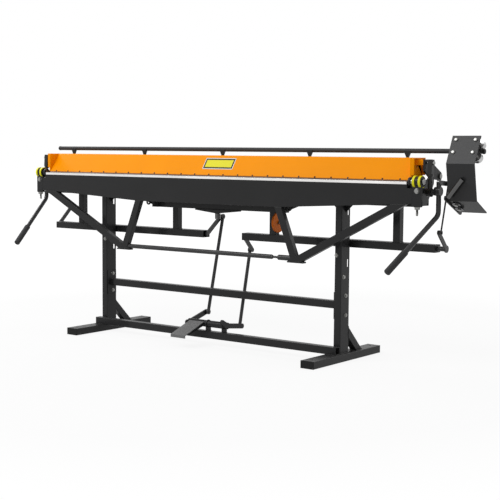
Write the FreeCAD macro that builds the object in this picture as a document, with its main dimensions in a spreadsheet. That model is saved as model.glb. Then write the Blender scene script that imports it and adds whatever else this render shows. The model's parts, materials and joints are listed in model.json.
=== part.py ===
import FreeCAD, Part
import Sketcher
import os
import re

# Sheet metal folder, in millimetres. X runs along the bend, Y to the back, Z up from the floor.
# X = 0 is the middle of the length and Y = 0 the middle of the feet.

doc = FreeCAD.newDocument("folder")
sheet = doc.addObject("Spreadsheet::Sheet", "sizes")

SIZES = {
    # bed and table
    "bed_length": 2550, "working_height": 944, "table_plate": 6, "table_front": -98,
    "table_back": 105, "bed_front": -85, "bed_back": 100, "bed_height": 118, "bed_wall": 5,
    # stand
    "foot_spacing": 1672, "foot_length": 640, "foot_width": 80, "foot_height": 40,
    "tube_wall": 3, "cap_thickness": 3, "cap_plug": 12, "anchor_spacing": 560, "anchor_bore": 12,
    "post_width": 40, "post_depth": 80, "post_back": 30, "post_sheet": 5, "slot_width": 14,
    "slot_setback": 8, "upper_slot": 760, "upper_slot_height": 45, "lower_slot": 490,
    "lower_slot_height": 40, "head_thickness": 8, "head_length": 120, "head_gusset": 38,
    "brace_size": 40, "brace_top": 176, "rail_size": 40, "lower_rail_length": 1720,
    "lower_rail_front": -100, "mid_rail_bottom": 270, "mid_rail_front": -20,
    "flange_thickness": 6, "flange_height": 140, "flange_depth": 70,
    "bolt_radius": 5, "bolt_head": 9.5, "bolt_height": 6.4, "bolt_pitch": 102, "bolt_setback": 25, "flange_bolt_setback": 47,
    "brace_bolt_height": 440, "web_bolt_height": 553, "web_bolt_inset": 9,
    # camber adjuster under the bed
    "camber_length": 1150, "camber_depth": 63, "camber_end": 17, "camber_flat": 910,
    "camber_plate": 12, "camber_block": 46, "camber_block_depth": 36, "camber_block_height": 33,
    "strap_length": 310, "strap_drop": 16, "strap_plate": 6, "strap_width": 30,
    "camber_bolt_radius": 8, "camber_bolt_drop": 57, "camber_nut_radius": 17, "camber_nut_height": 30,
    "eye_spacing": 1008, "eye_place": -20, "eye_drop": 36, "eye_ring": 12, "eye_wire": 5, "eye_stem": 6,
    # side plates and their pivots
    "side_plate": 12, "fold_pin_radius": 10, "fold_ear_radius": 22, "hinge_line": -100,
    "clamp_pivot_place": 110, "clamp_pivot_height": 968, "clamp_pin_radius": 8, "pivot_ear_radius": 24,
    "hub_place": -5, "hub_height": 897, "axle_radius": 12.5, "bearing_width": 27,
    "bearing_depth": 77, "bearing_height": 56,
    # torsion shafts in their rails
    "shaft_place": 70, "shaft_height": 610, "shaft_radius": 12.5, "shaft_rail_depth": 60,
    "shaft_rail_height": 40, "shaft_rail_start": 140, "shaft_rail_end": 1345, "bush_length": 12,
    "hanger_size": 40, "inner_hanger": 350, "outer_hanger": 1125,
    "crank_plate": 10, "crank_width": 24, "link_pin_radius": 5,
    "inner_crank": 128, "rod_line": 118, "right_crank": 1390, "left_crank": 1350,
    # throws of the cranks, as steps back and up from their own pivots
    "right_outer_back": -84, "right_outer_up": 86, "right_inner_back": 77, "right_inner_up": -82,
    "left_inner_back": 125, "left_inner_up": 95, "left_outer_back": 108, "left_outer_up": 106,
    "right_lever_back": 58, "right_lever_up": 37, "left_lever_back": -11, "left_lever_up": -75,
    # pedal
    "pedal_place": -80, "pedal_height": 120, "pedal_shaft_radius": 19, "pedal_shaft_reach": 138,
    "pedal_arm_width": 28, "right_arm_back": 135, "right_arm_up": -16, "left_arm_back": 144,
    "left_arm_up": 41, "right_arm_front": -43, "right_arm_rise": 24, "left_arm_front": -26,
    "left_arm_rise": -1, "bracket_width": 40, "bracket_plate": 8, "left_bracket": -4,
    "right_bracket": 110, "tread_start": -120, "tread_width": 103, "tread_front": -263,
    "tread_front_height": 70, "tread_back": -100, "tread_back_height": 130, "tread_plate": 4,
    "tread_lip": 14,
    # rods
    "rod_radius": 9.5, "thin_rod_radius": 4.4, "eye_radius": 15, "eye_width": 12, "thin_eye_radius": 12,
    "thin_eye_width": 9, "right_thin_line": 1406, "left_thin_line": 1365,
    # handles and lift links
    "handle_line": 1385, "handle_radius": 12.5, "handle_drop": 97.2, "handle_bend": 40,
    "handle_reach": 328, "handle_inset": 90, "handle_fall": 377, "handle_stub": 42, "grip_radius": 17,
    "grip_length": 150, "hub_radius": 22, "web_plate": 8, "crank_start": 1330,
    "throw_forward": 33, "throw_down": 5, "crank_pin_radius": 7, "lift_width": 24,
    "lift_top_place": -28, "lift_rise": 143, "strap_radius": 22, "lift_pin_radius": 6,
    "lift_block": 24, "lift_tube": 11, "lift_band": 14, "lift_ring": 9,
    # folding beam
    "fold_depth": 14, "fold_back": -102, "fold_height": 151, "fold_flat": 1000, "fold_end_height": 108,
    "fold_sheet": 6, "fold_rim": 10, "fold_top_bar": 20, "notch_start": 1270, "notch_depth": 33,
    "fold_end": 1300, "strip_height": 13, "strip_plate": 2, "strip_end": 1268, "drum_width": 50,
    "drum_radius": 26, "band_radius": 30, "band_width": 12, "band_inset": 3, "end_block_drop": 122,
    "stud_radius": 6, "stud_drop": 44, "nut_radius": 15, "nut_height": 13, "front_bolt_drop": 44,
    "truss_size": 40, "truss_depth": 30, "truss_back": -90, "truss_foot": 610, "truss_foot_height": 512,
    "inner_truss_top": 500, "outer_truss_top": 1225, "foot_plate": 8, "foot_plate_start": -48, "foot_plate_length": 104, "tie_radius": 12.5,
    "tie_stud_radius": 6, "tie_stud_start": 454, "tie_socket_start": 500, "tie_socket_radius": 14.5,
    # clamping beam
    "clamp_half": 1266, "blade_height": 5.7, "blade_front": -97, "blade_back": -40,
    "face_foot": -84, "face_top": -10, "clamp_top": 1060, "clamp_back": 34, "clamp_sheet": 8,
    "end_plate": 8, "end_front": -82, "rim_low": 974, "rim_reach": 14, "rim_plate": 6,
    "arm_start": 1318, "arm_plate": 10, "tab_low": 1024, "tab_high": 1052, "tab_front": -44,
    "tab_back": -4,
    "label_start": -64, "label_width": 212, "label_height": 73, "label_rise": 40, "label_plate": 1,
    # knife rail and carriage
    "rail_place": 50, "rail_height": 1093, "rail_radius": 12, "rail_left": -1310, "rail_right": 1590,
    "rail_cap": 10, "rail_bracket_pitch": 591, "bracket_top": 40, "bracket_foot": 8,
    "bracket_drop": 73, "knife_start": 1440, "knife_width": 150, "knife_sheet": 6,
    # the carriage's upper face leans, its middle face falls and its lower flange runs back
    "knife_lean": 64.4703, "knife_stand": 55.35, "knife_rise": 22.27, "knife_drop": 59.63,
    "knife_fall": 178, "knife_setback": 34, "flange_back": 110, "flange_fall": 59, "roller_radius": 25,
    "roller_width": 26, "roller_setin": 24, "roller_pitch": 103, "roller_bolt": 5, "spacer_radius": 9,
    "arm_tail_back": 133, "arm_tail_fall": 64, "arm_nose_front": 24, "arm_nose_rise": 11,
    "arm_height": 24, "strut_radius": 12, "strut_foot_x": 10, "strut_foot_front": 28,
    "strut_foot_rise": 15, "strut_run_x": 78, "strut_run_back": -5.6, "strut_run_rise": 90,
    "cutter_radius": 21, "cutter_plate": 5, "cutter_bolt": 5, "cutter_inset": 30,
    "first_cutter": 32, "cutter_spacing": 38,
    # locking disc on a hanger
    "disc_place": 60, "disc_gap": 13, "disc_radius": 56, "disc_plate": 10, "disc_pin": 6,
    # clearances
    "running_fit": 0.05, "bolt_fit": 0.3, "air_gap": 0.3, "lift_play": 1.1, "rod_play": 1,
    "right_thin_play": 2.4, "left_thin_play": 3.1,
}

for row, (word, number) in enumerate(SIZES.items(), start=1):
    sheet.set(f"A{row}", word)
    sheet.set(f"B{row}", str(number))
    sheet.setAlias(f"B{row}", word)
doc.recompute()

# Places that several pieces share, written in the words of the sheet
FOOT_X = "(foot_spacing / 2)"
BED_TOP = "(working_height - table_plate)"
BED_LOW = "(working_height - table_plate - bed_height)"
BED_END = "(bed_length / 2)"
SIDE_OUT = "(bed_length / 2 + side_plate)"
POST_TOP = "(working_height - table_plate - bed_height - head_thickness)"
POST_FRONT = "(post_back - post_depth)"
CAMBER_LOW = "(working_height - table_plate - bed_height - camber_depth)"
FOLD_LOW = "(working_height - fold_height)"
FOLD_FRONT = "(fold_back - fold_depth)"
TRUSS_MID = "(truss_back - truss_depth / 2)"
BLADE_TOP = "(working_height + air_gap + blade_height)"

# Pivots of the pedal linkage, as (Y, Z) pairs
HUB = ("hub_place", "hub_height")
THROW = ("(hub_place - throw_forward)", "(hub_height - throw_down)")
LIFT_TOP = ("lift_top_place", "(hub_height - throw_down + lift_rise)")
SHAFT = ("shaft_place", "shaft_height")
PEDAL = ("pedal_place", "pedal_height")
RIGHT_LEVER = ("(hub_place + right_lever_back)", "(hub_height + right_lever_up)")
LEFT_LEVER = ("(hub_place + left_lever_back)", "(hub_height + left_lever_up)")
RIGHT_OUTER = ("(shaft_place + right_outer_back)", "(shaft_height + right_outer_up)")
RIGHT_INNER = ("(shaft_place + right_inner_back)", "(shaft_height + right_inner_up)")
LEFT_OUTER = ("(shaft_place + left_outer_back)", "(shaft_height + left_outer_up)")
LEFT_INNER = ("(shaft_place + left_inner_back)", "(shaft_height + left_inner_up)")
RIGHT_ARM = ("(pedal_place + right_arm_back)", "(pedal_height + right_arm_up)")
LEFT_ARM = ("(pedal_place + left_arm_back)", "(pedal_height + left_arm_up)")
RIGHT_TOE = ("(pedal_place + right_arm_front)", "(pedal_height + right_arm_rise)")
LEFT_TOE = ("(pedal_place + left_arm_front)", "(pedal_height + left_arm_rise)")
FOLD_PIN = ("hinge_line", "working_height")
CLAMP_PIVOT = ("clamp_pivot_place", "clamp_pivot_height")
RAIL = ("rail_place", "rail_height")
RAIL_TOP = "(shaft_height + shaft_rail_height / 2)"
DISC = ("disc_place", f"({RAIL_TOP} + disc_gap + disc_radius)")

nodes = []


def ref(text):
    """Point each size word at its cell."""
    return re.sub(r"[a-z][a-z_]*", lambda w: "sizes." + w[0] if w[0] in SIZES else w[0], str(text))


def bind(item, **expressions):
    for name, text in expressions.items():
        item.setExpression(name, ref(text))
    return item


def place(item, x, y, z):
    for letter, text in zip("xyz", (x, y, z)):
        item.setExpression("Placement.Base." + letter, ref(text))
    return item


def turn(item, axis, degrees=0, angle=None):
    item.Placement = FreeCAD.Placement(FreeCAD.Vector(), FreeCAD.Rotation(FreeCAD.Vector(*axis), degrees))
    if angle:
        item.setExpression("Placement.Rotation.Angle", ref(angle))
    return item


def box(x, y, z, dx, dy, dz):
    item = bind(doc.addObject("Part::Box", "Box"), Length=dx, Width=dy, Height=dz)
    return place(item, x, y, z)


def bar_x(at, x, length, radius):
    """Round bar along X that starts at x."""
    item = turn(doc.addObject("Part::Cylinder", "BarX"), (0, 1, 0), 90)
    return place(bind(item, Radius=radius, Height=length), x, *at)


def bar_y(x, y, z, length, radius):
    item = turn(doc.addObject("Part::Cylinder", "BarY"), (1, 0, 0), -90)
    return place(bind(item, Radius=radius, Height=length), x, y, z)


def bar_z(x, y, z, length, radius):
    return place(bind(doc.addObject("Part::Cylinder", "BarZ"), Radius=radius, Height=length), x, y, z)


def hex_nut(x, y, z, height, radius, axis):
    """Six-sided nut or head that grows along +axis."""
    item = doc.addObject("Part::Prism", "Hex")
    item.Polygon = 6
    turn(item, *{"x": ((0, 1, 0), 90), "y": ((1, 0, 0), -90), "z": ((0, 0, 1), 0)}[axis])
    return place(bind(item, Circumradius=radius, Height=height), x, y, z)


def lean(a, b):
    """Angle in the YZ plane of the line from a to b."""
    return f"atan2({b[1]} - ({a[1]}); {b[0]} - ({a[0]}))"


def span(a, b):
    return f"sqrt(({b[1]} - ({a[1]}))^2 + ({b[0]} - ({a[0]}))^2)"


def strip(a, b, x, dx, height):
    """Flat strip, dx thick along X, centred on the line from a to b."""
    item = turn(doc.addObject("Part::Box", "Strip"), (1, 0, 0), 30, lean(a, b))
    bind(item, Length=dx, Width=span(a, b), Height=height)
    return place(item, x, f"{a[0]} + ({height}) / 2 * sin({lean(a, b)})",
                 f"{a[1]} - ({height}) / 2 * cos({lean(a, b)})")


def rod(a, b, x, radius):
    """Round rod in the plane X = x from a to b."""
    item = turn(doc.addObject("Part::Cylinder", "Rod"), (1, 0, 0), 30, f"{lean(a, b)} - 90 deg")
    return place(bind(item, Radius=radius, Height=span(a, b)), x, *a)


def fuse(*items):
    item = doc.addObject("Part::MultiFuse", "Fuse")
    item.Shapes = list(items)
    return item


def cut(base, *tools):
    item = doc.addObject("Part::Cut", "Cut")
    item.Base = base
    item.Tool = tools[0] if len(tools) == 1 else fuse(*tools)
    return item


def mirror(item):
    """The same piece on the other side of X = 0."""
    other = doc.addObject("Part::Mirroring", "Mirror")
    other.Source, other.Normal, other.Base = item, FreeCAD.Vector(1, 0, 0), FreeCAD.Vector()
    return other


def pair(item):
    return item, mirror(item)


def node(label, *items):
    item = items[0]
    if len(items) > 1:
        item = doc.addObject("Part::Compound", "Group")
        item.Links = list(items)
    item.Label = label
    nodes.append(item)
    return item


def sketch_on(body, role):
    drawing = body.newObject("Sketcher::SketchObject", "Profile")
    plane = next(p for p in body.Origin.OriginFeatures if p.Role == role)
    drawing.AttachmentSupport, drawing.MapMode = [(plane, "")], "FlatFace"
    return drawing


def outline(drawing, points):
    """Closed outline whose corners are bound to the sheet."""
    count = len(points)
    for i in range(count):
        ends = [FreeCAD.Vector(i + k, (i + k) ** 2 % 7, 0) for k in (0, 1)]
        drawing.addGeometry(Part.LineSegment(*ends), False)
    for i in range(count):
        drawing.addConstraint(Sketcher.Constraint("Coincident", i, 2, (i + 1) % count, 1))
    for i, point in enumerate(points):
        for kind, text in zip(("DistanceX", "DistanceY"), point):
            index = drawing.addConstraint(Sketcher.Constraint(kind, -1, 1, i, 1, 1.0))
            drawing.setExpression(f"Constraints[{index}]", ref(text))


def prism(role, points, start, length):
    """Padded outline: YZ_Plane outlines grow along +X, XZ_Plane ones along +Y."""
    body = doc.addObject("PartDesign::Body", "Body")
    drawing = sketch_on(body, role)
    outline(drawing, points)
    pad = body.newObject("PartDesign::Pad", "Pad")
    pad.Profile, pad.Reversed = drawing, role == "XZ_Plane"
    bind(pad, Length=length)
    at = (start, "0", "0") if role == "YZ_Plane" else ("0", start, "0")
    return place(body, *at)


def eye_rod(a, b, x, radius, eye, width, bore_a, bore_b):
    """Round rod with a flat eye at each end."""
    ends = [bar_x(p, f"{x} - {width} / 2", width, eye) for p in (a, b)]
    bores = [bar_x(p, f"{x} - {width}", f"2 * {width}", r) for p, r in ((a, bore_a), (b, bore_b))]
    return cut(fuse(rod(a, b, x, radius), *ends), *bores)


def lever(a, b, x, thickness, width):
    """Flat lever with round ends."""
    return fuse(strip(a, b, x, thickness, width),
                *[bar_x(p, x, thickness, f"{width} / 2") for p in (a, b)])


# Feet: a square tube under each post, drilled through for floor anchors
foot = cut(
    box(f"{FOOT_X} - foot_width / 2", "-foot_length / 2", 0, "foot_width", "foot_length", "foot_height"),
    box(f"{FOOT_X} - foot_width / 2 + tube_wall", "-foot_length", "tube_wall",
        "foot_width - 2 * tube_wall", "2 * foot_length", "foot_height - 2 * tube_wall"),
    *[bar_z(FOOT_X, f"{side} * anchor_spacing / 2", -1, "foot_height + 2", "anchor_bore / 2")
      for side in (-1, 1)])
node("feet", *pair(foot))

caps = []
for side in (-1, 1):
    plug_y = f"{side} * (foot_length / 2 - cap_plug / 2) - cap_plug / 2"
    plate_y = f"{side} * (foot_length / 2 + cap_thickness / 2) - cap_thickness / 2"
    caps += pair(fuse(
        box(f"{FOOT_X} - foot_width / 2", plate_y, 0, "foot_width", "cap_thickness", "foot_height"),
        box(f"{FOOT_X} - foot_width / 2 + tube_wall + air_gap", plug_y, "tube_wall + air_gap",
            "foot_width - 2 * tube_wall - 2 * air_gap", "cap_plug",
            "foot_height - 2 * tube_wall - 2 * air_gap")))
node("foot_end_caps", *caps)

# Posts: folded channels, web to the front, with two slots near the open back
BOLT_Y = f"({POST_FRONT} + bolt_setback)"
FLANGE_BOLT_Y = f"({POST_FRONT} + flange_bolt_setback)"
FLANGE_BOLTS = [f"(mid_rail_bottom + rail_size / 2 + {k} * bolt_pitch / 2)" for k in (-1, 1)]
WEB_BOLT_X = f"({FOOT_X} - web_bolt_inset)"


def cross_bores(start, length):
    return [bar_x((FLANGE_BOLT_Y, z), start, length, "bolt_radius + bolt_fit") for z in FLANGE_BOLTS]


post = cut(
    box(f"{FOOT_X} - post_width / 2", POST_FRONT, "foot_height", "post_width", "post_depth",
        f"{POST_TOP} - foot_height"),
    box(f"{FOOT_X} - post_width / 2 + post_sheet", f"{POST_FRONT} + post_sheet", "foot_height - 1",
        "post_width - 2 * post_sheet", "post_depth", f"{POST_TOP} - foot_height + 2"),
    *[box(f"{FOOT_X} - post_width", "post_back - slot_setback - slot_width", low, "2 * post_width",
          "slot_width", high)
      for low, high in (("upper_slot", "upper_slot_height"), ("lower_slot", "lower_slot_height"))],
    *cross_bores(f"{FOOT_X} - post_width", "2 * post_width"),
    bar_x((BOLT_Y, "brace_bolt_height"), FOOT_X, "post_width", "bolt_radius + bolt_fit"),
    bar_y(WEB_BOLT_X, f"{POST_FRONT} - 1", "web_bolt_height", "post_sheet + 2",
          "bolt_radius + bolt_fit"))
node("posts", *pair(post))

# Braces: tubes at 45 degrees from the back of each post to its foot
BRACE_CUT = "brace_size * sqrt(2)"
BRACE_WALL = "tube_wall * sqrt(2)"
brace_outer = prism("YZ_Plane", [
    ("post_back", "brace_top"), ("post_back", f"brace_top - {BRACE_CUT}"),
    (f"post_back + brace_top - foot_height - {BRACE_CUT}", "foot_height"),
    ("post_back + brace_top - foot_height", "foot_height")],
    f"{FOOT_X} - brace_size / 2", "brace_size")
brace_inner = prism("YZ_Plane", [
    ("post_back", f"brace_top - {BRACE_WALL}"),
    ("post_back", f"brace_top - {BRACE_CUT} + {BRACE_WALL}"),
    (f"post_back + brace_top - foot_height - {BRACE_CUT} + {BRACE_WALL}", "foot_height"),
    (f"post_back + brace_top - foot_height - {BRACE_WALL}", "foot_height")],
    f"{FOOT_X} - brace_size / 2 + tube_wall", "brace_size - 2 * tube_wall")
node("post_braces", *pair(cut(brace_outer, brace_inner)))

# Head plates: what the bed stands on, stiffened by a small gusset each side of the post
head = [box(f"{FOOT_X} - head_length / 2", POST_FRONT, POST_TOP, "head_length", "post_depth + 20",
            "head_thickness")]
for side in (-1, 1):
    face = f"{FOOT_X} + {side} * post_width / 2"
    head.append(prism("XZ_Plane", [
        (face, POST_TOP), (face, f"{POST_TOP} - head_gusset"),
        (f"{face} + {side} * head_gusset", POST_TOP)], f"{POST_FRONT} + post_depth / 2", "post_sheet"))
node("post_head_plates", *pair(fuse(*head)))


def square_rail(length, y, z):
    return cut(box(f"-{length} / 2", y, z, length, "rail_size", "rail_size"),
               box(f"-{length}", f"{y} + tube_wall", f"{z} + tube_wall", f"2 * {length}",
                   "rail_size - 2 * tube_wall", "rail_size - 2 * tube_wall"))


# Cross rails: one lies on the feet, the other is bolted between the posts
MID_HALF = f"({FOOT_X} - post_width / 2 - flange_thickness)"
node("cross_rails", square_rail("lower_rail_length", "lower_rail_front", "foot_height"),
     square_rail(f"(2 * {MID_HALF})", "mid_rail_front", "mid_rail_bottom"))
node("rail_flanges", *pair(cut(
    box(MID_HALF, f"{POST_FRONT} + post_sheet", "mid_rail_bottom + rail_size / 2 - flange_height / 2",
        "flange_thickness", "flange_depth", "flange_height"),
    *cross_bores(f"{MID_HALF} - 1", "flange_thickness + 2"))))

# Frame bolts: two through each post into the rail flange, one for the back brace, one in the web
bolts = []
for z in FLANGE_BOLTS:
    bolts += pair(fuse(
        bar_x((FLANGE_BOLT_Y, z), f"{MID_HALF} - bolt_height",
              f"{FOOT_X} + post_width / 2 - {MID_HALF} + bolt_height", "bolt_radius"),
        hex_nut(f"{FOOT_X} + post_width / 2", FLANGE_BOLT_Y, z, "bolt_height", "bolt_head", "x"),
        hex_nut(f"{MID_HALF} - bolt_height", FLANGE_BOLT_Y, z, "bolt_height", "bolt_head", "x")))
bolts += pair(fuse(
    bar_x((BOLT_Y, "brace_bolt_height"), f"{FOOT_X} + post_width / 2 - post_sheet - 8", "post_sheet + 8",
          "bolt_radius"),
    hex_nut(f"{FOOT_X} + post_width / 2", BOLT_Y, "brace_bolt_height", "bolt_height", "bolt_head", "x")))
bolts += pair(fuse(
    bar_y(WEB_BOLT_X, POST_FRONT, "web_bolt_height", "post_sheet + 8", "bolt_radius"),
    hex_nut(WEB_BOLT_X, f"{POST_FRONT} - bolt_height", "web_bolt_height", "bolt_height", "bolt_head", "y")))
node("frame_bolts", *bolts)

# Bed: a long hollow beam with the table plate on it
node("bed_beam", cut(
    box(f"-{BED_END}", "bed_front", BED_LOW, "bed_length", "bed_back - bed_front", "bed_height"),
    box("-bed_length", "bed_front + bed_wall", f"{BED_LOW} + bed_wall", "2 * bed_length",
        "bed_back - bed_front - 2 * bed_wall", "bed_height - 2 * bed_wall")))
node("bed_table", box(f"-{BED_END}", "table_front", BED_TOP, "bed_length", "table_back - table_front",
                      "table_plate"))

# Camber adjuster: a deep bar under the bed that a bolt and strap push up in the middle
camber = prism("XZ_Plane", [
    ("-camber_length / 2", BED_LOW), ("-camber_length / 2", f"{BED_LOW} - camber_end"),
    ("-camber_flat / 2", CAMBER_LOW), ("camber_flat / 2", CAMBER_LOW),
    ("camber_length / 2", f"{BED_LOW} - camber_end"), ("camber_length / 2", BED_LOW)],
    "-camber_plate / 2", "camber_plate")
camber_ends = pair(box("camber_flat / 2 - camber_block / 2", "-camber_block_depth / 2", CAMBER_LOW,
                       "camber_block", "camber_block_depth", "camber_block_height"))
strap = cut(
    prism("XZ_Plane", [
        ("-strap_length / 2", CAMBER_LOW), ("strap_length / 2", CAMBER_LOW),
        ("strap_length / 2", f"{CAMBER_LOW} - strap_plate"),
        ("0", f"{CAMBER_LOW} - strap_drop - strap_plate"),
        ("-strap_length / 2", f"{CAMBER_LOW} - strap_plate")], "-strap_width / 2", "strap_width"),
    bar_z(0, 0, f"{CAMBER_LOW} - 2 * strap_drop", "3 * strap_drop", "camber_bolt_radius + bolt_fit"))
node("camber_bar", fuse(camber, *camber_ends), strap)
node("camber_bolt", fuse(
    bar_z(0, 0, f"{CAMBER_LOW} - camber_bolt_drop", "camber_bolt_drop", "camber_bolt_radius"),
    hex_nut(0, 0, f"{CAMBER_LOW} - strap_drop - strap_plate - air_gap - camber_nut_height",
            "camber_nut_height", "camber_nut_radius", "z")))

# Eye bolts under the bed, for a hoist or a strap
ring = turn(doc.addObject("Part::Torus", "Ring"), (1, 0, 0), 90)
bind(ring, Radius1="eye_ring", Radius2="eye_wire")
place(ring, "eye_spacing / 2", "eye_place", f"{BED_LOW} - eye_drop")
stem = bar_z("eye_spacing / 2", "eye_place", f"{BED_LOW} - eye_drop + eye_ring", "eye_drop - eye_ring",
             "eye_stem")
node("eye_bolts", *pair(fuse(ring, stem)))

# Side plates: close the bed and carry the fold pin, the handle axle and the clamp pivot
plate = prism("YZ_Plane", [
    ("table_front + 2", f"{BED_LOW} + 2"), ("bed_back - 40", f"{BED_LOW} + 2"),
    ("clamp_pivot_place + 18", "clamp_pivot_height - 38"),
    ("clamp_pivot_place + 18", "clamp_pivot_height"),
    ("clamp_pivot_place - 18", "clamp_pivot_height"),
    ("clamp_pivot_place - 44", "working_height + 6"), ("hinge_line + 26", "working_height + 6"),
    ("hinge_line", "working_height + 14"), ("table_front + 2", "working_height - 30")],
    BED_END, "side_plate")
plate = cut(fuse(plate, bar_x(FOLD_PIN, BED_END, "side_plate", "fold_ear_radius"),
                 bar_x(CLAMP_PIVOT, BED_END, "side_plate", "pivot_ear_radius")),
            bar_x(FOLD_PIN, f"{BED_END} - 1", "side_plate + 2", "fold_pin_radius + running_fit"),
            bar_x(CLAMP_PIVOT, f"{BED_END} - 1", "side_plate + 2", "clamp_pin_radius + running_fit"),
            bar_x(HUB, f"{BED_END} - 1", "side_plate + 2", "axle_radius + air_gap"))
node("side_plates", *pair(plate))

# Pivot pins: fold pins with a collar and head, clamp pivots, and the stud of the locking disc
DRUM_END = "(fold_end + drum_width)"
ARM_END = "(arm_start + arm_plate)"
HANGER_FACE = "(inner_hanger + hanger_size / 2)"
fold_pin = fuse(
    bar_x(FOLD_PIN, BED_END, f"{DRUM_END} + 1 - {BED_END}", "fold_pin_radius"),
    bar_x(FOLD_PIN, SIDE_OUT, f"fold_end - air_gap - {SIDE_OUT}", "fold_pin_radius + 6"),
    bar_x(FOLD_PIN, f"{DRUM_END} + air_gap", "6", "fold_pin_radius + 5"))
clamp_pin = fuse(
    bar_x(CLAMP_PIVOT, f"{BED_END} - 1", f"{ARM_END} + 2 - {BED_END}", "clamp_pin_radius"),
    bar_x(CLAMP_PIVOT, SIDE_OUT, f"arm_start - air_gap - {SIDE_OUT}", "clamp_pin_radius + 6"),
    hex_nut(f"{ARM_END} + air_gap", *CLAMP_PIVOT, "8", "clamp_pin_radius + 6", "x"))
disc_stud = fuse(
    bar_x(DISC, HANGER_FACE, "disc_plate + 2 * air_gap + 10", "disc_pin"),
    hex_nut(f"{HANGER_FACE} + disc_plate + 2 * air_gap", *DISC, "8", "disc_pin + 5", "x"))
node("pivot_pins", *pair(fold_pin), *pair(clamp_pin), disc_stud)

# Bearings: a block for each handle axle and a bush in each end of the shaft rails
bearing = cut(
    box(SIDE_OUT, "hub_place - bearing_depth / 2", "hub_height - bearing_height / 2", "bearing_width",
        "bearing_depth", "bearing_height"),
    bar_x(HUB, f"{SIDE_OUT} - 1", "bearing_width + 2", "axle_radius + running_fit"))
bearings = [*pair(bearing)]
for start in ("shaft_rail_start", "(shaft_rail_end - bush_length)"):
    inner_deep = "(shaft_rail_depth - 2 * tube_wall)"
    inner_high = "(shaft_rail_height - 2 * tube_wall)"
    bearings += pair(cut(
        box(start, f"shaft_place - {inner_deep} / 2", f"shaft_height - {inner_high} / 2", "bush_length",
            inner_deep, inner_high),
        bar_x(SHAFT, f"{start} - 1", "bush_length + 2", "shaft_radius + running_fit")))
node("bearings", *bearings)

# Shaft rails: hollow guards that hang under the bed with the torsion shafts inside
rail = cut(
    box("shaft_rail_start", "shaft_place - shaft_rail_depth / 2", "shaft_height - shaft_rail_height / 2",
        "shaft_rail_end - shaft_rail_start", "shaft_rail_depth", "shaft_rail_height"),
    box("shaft_rail_start - 1", "shaft_place - shaft_rail_depth / 2 + tube_wall",
        "shaft_height - shaft_rail_height / 2 + tube_wall", "shaft_rail_end - shaft_rail_start + 2",
        "shaft_rail_depth - 2 * tube_wall", "shaft_rail_height - 2 * tube_wall"))
node("shaft_rails", *pair(rail))
hangers = []
for x in ("inner_hanger", "outer_hanger"):
    hangers += pair(box(f"{x} - hanger_size / 2", "disc_place - hanger_size / 2", RAIL_TOP, "hanger_size",
                        "hanger_size", f"{BED_LOW} - {RAIL_TOP}"))
node("rail_hangers", *hangers)

# Pedal brackets: two plates that stand on the lower rail
LOWER_TOP = "(foot_height + rail_size)"
brackets = []
for x in ("left_bracket", "right_bracket"):
    brackets.append(cut(
        fuse(box(x, "pedal_place - bracket_width / 2", LOWER_TOP, "bracket_plate", "bracket_width",
                 f"pedal_height - {LOWER_TOP}"),
             bar_x(PEDAL, x, "bracket_plate", "bracket_width / 2 + 3")),
        bar_x(PEDAL, f"{x} - 1", "bracket_plate + 2", "pedal_shaft_radius + running_fit")))
node("pedal_brackets", *brackets)

# Folding beam: a long pan, deepest in the middle, with a notch at each end for the side plate ear
def fold_low(x):
    """Bottom edge of the folding beam at x."""
    rise = "((fold_height - fold_end_height) / (fold_end - fold_flat / 2))"
    return f"({FOLD_LOW} + {rise} * ({x} - fold_flat / 2))"


half = [("notch_start", "working_height"), ("notch_start", "working_height - notch_depth"),
        ("fold_end", "working_height - notch_depth"), ("fold_end", fold_low("fold_end")),
        ("fold_flat / 2", FOLD_LOW)]
pan = prism("XZ_Plane", half + [(f"-{x}", z) for x, z in reversed(half)], FOLD_FRONT, "fold_depth")
half = [("notch_start - fold_rim", "working_height - fold_top_bar"),
        ("notch_start - fold_rim", f"{fold_low('notch_start')} + fold_rim"),
        ("fold_flat / 2", f"{FOLD_LOW} + fold_rim")]
hollow = prism("XZ_Plane", half + [(f"-({x})", z) for x, z in reversed(half)],
               f"{FOLD_FRONT} + fold_sheet", "fold_depth")
node("fold_beam", cut(pan, hollow))
node("fold_edge_strip", box("-strip_end", f"{FOLD_FRONT} - strip_plate", "working_height - strip_height",
                            "2 * strip_end", "strip_plate", "strip_height"))


# Truss under the folding beam: two diagonals each side that meet at a foot, and a tie between the feet
def tube_outline(top_x, wall):
    """Outline of a diagonal from the truss foot up to the beam's bottom edge."""
    low_z, dx = "truss_foot_height", f"({top_x} - truss_foot)"
    dz = f"({fold_low(top_x) if top_x == 'outer_truss_top' else FOLD_LOW} - {low_z})"
    wide = f"((truss_size / 2 - {wall}) * sqrt({dx}^2 + {dz}^2) / {dz})"
    slope = "((fold_height - fold_end_height) / (fold_end - fold_flat / 2))"
    corners = []
    for side in (-1, 1):
        foot_x = f"(truss_foot + {side} * {wide})"
        if top_x == "outer_truss_top":
            reach = f"(({fold_low(foot_x)} - {low_z}) / ({dz} - {slope} * {dx}))"
        else:
            reach = "1"
        corners.append([(foot_x, low_z), (f"{foot_x} + {reach} * {dx}", f"{low_z} + {reach} * {dz}")])
    return [corners[0][0], corners[1][0], corners[1][1], corners[0][1]]


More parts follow.
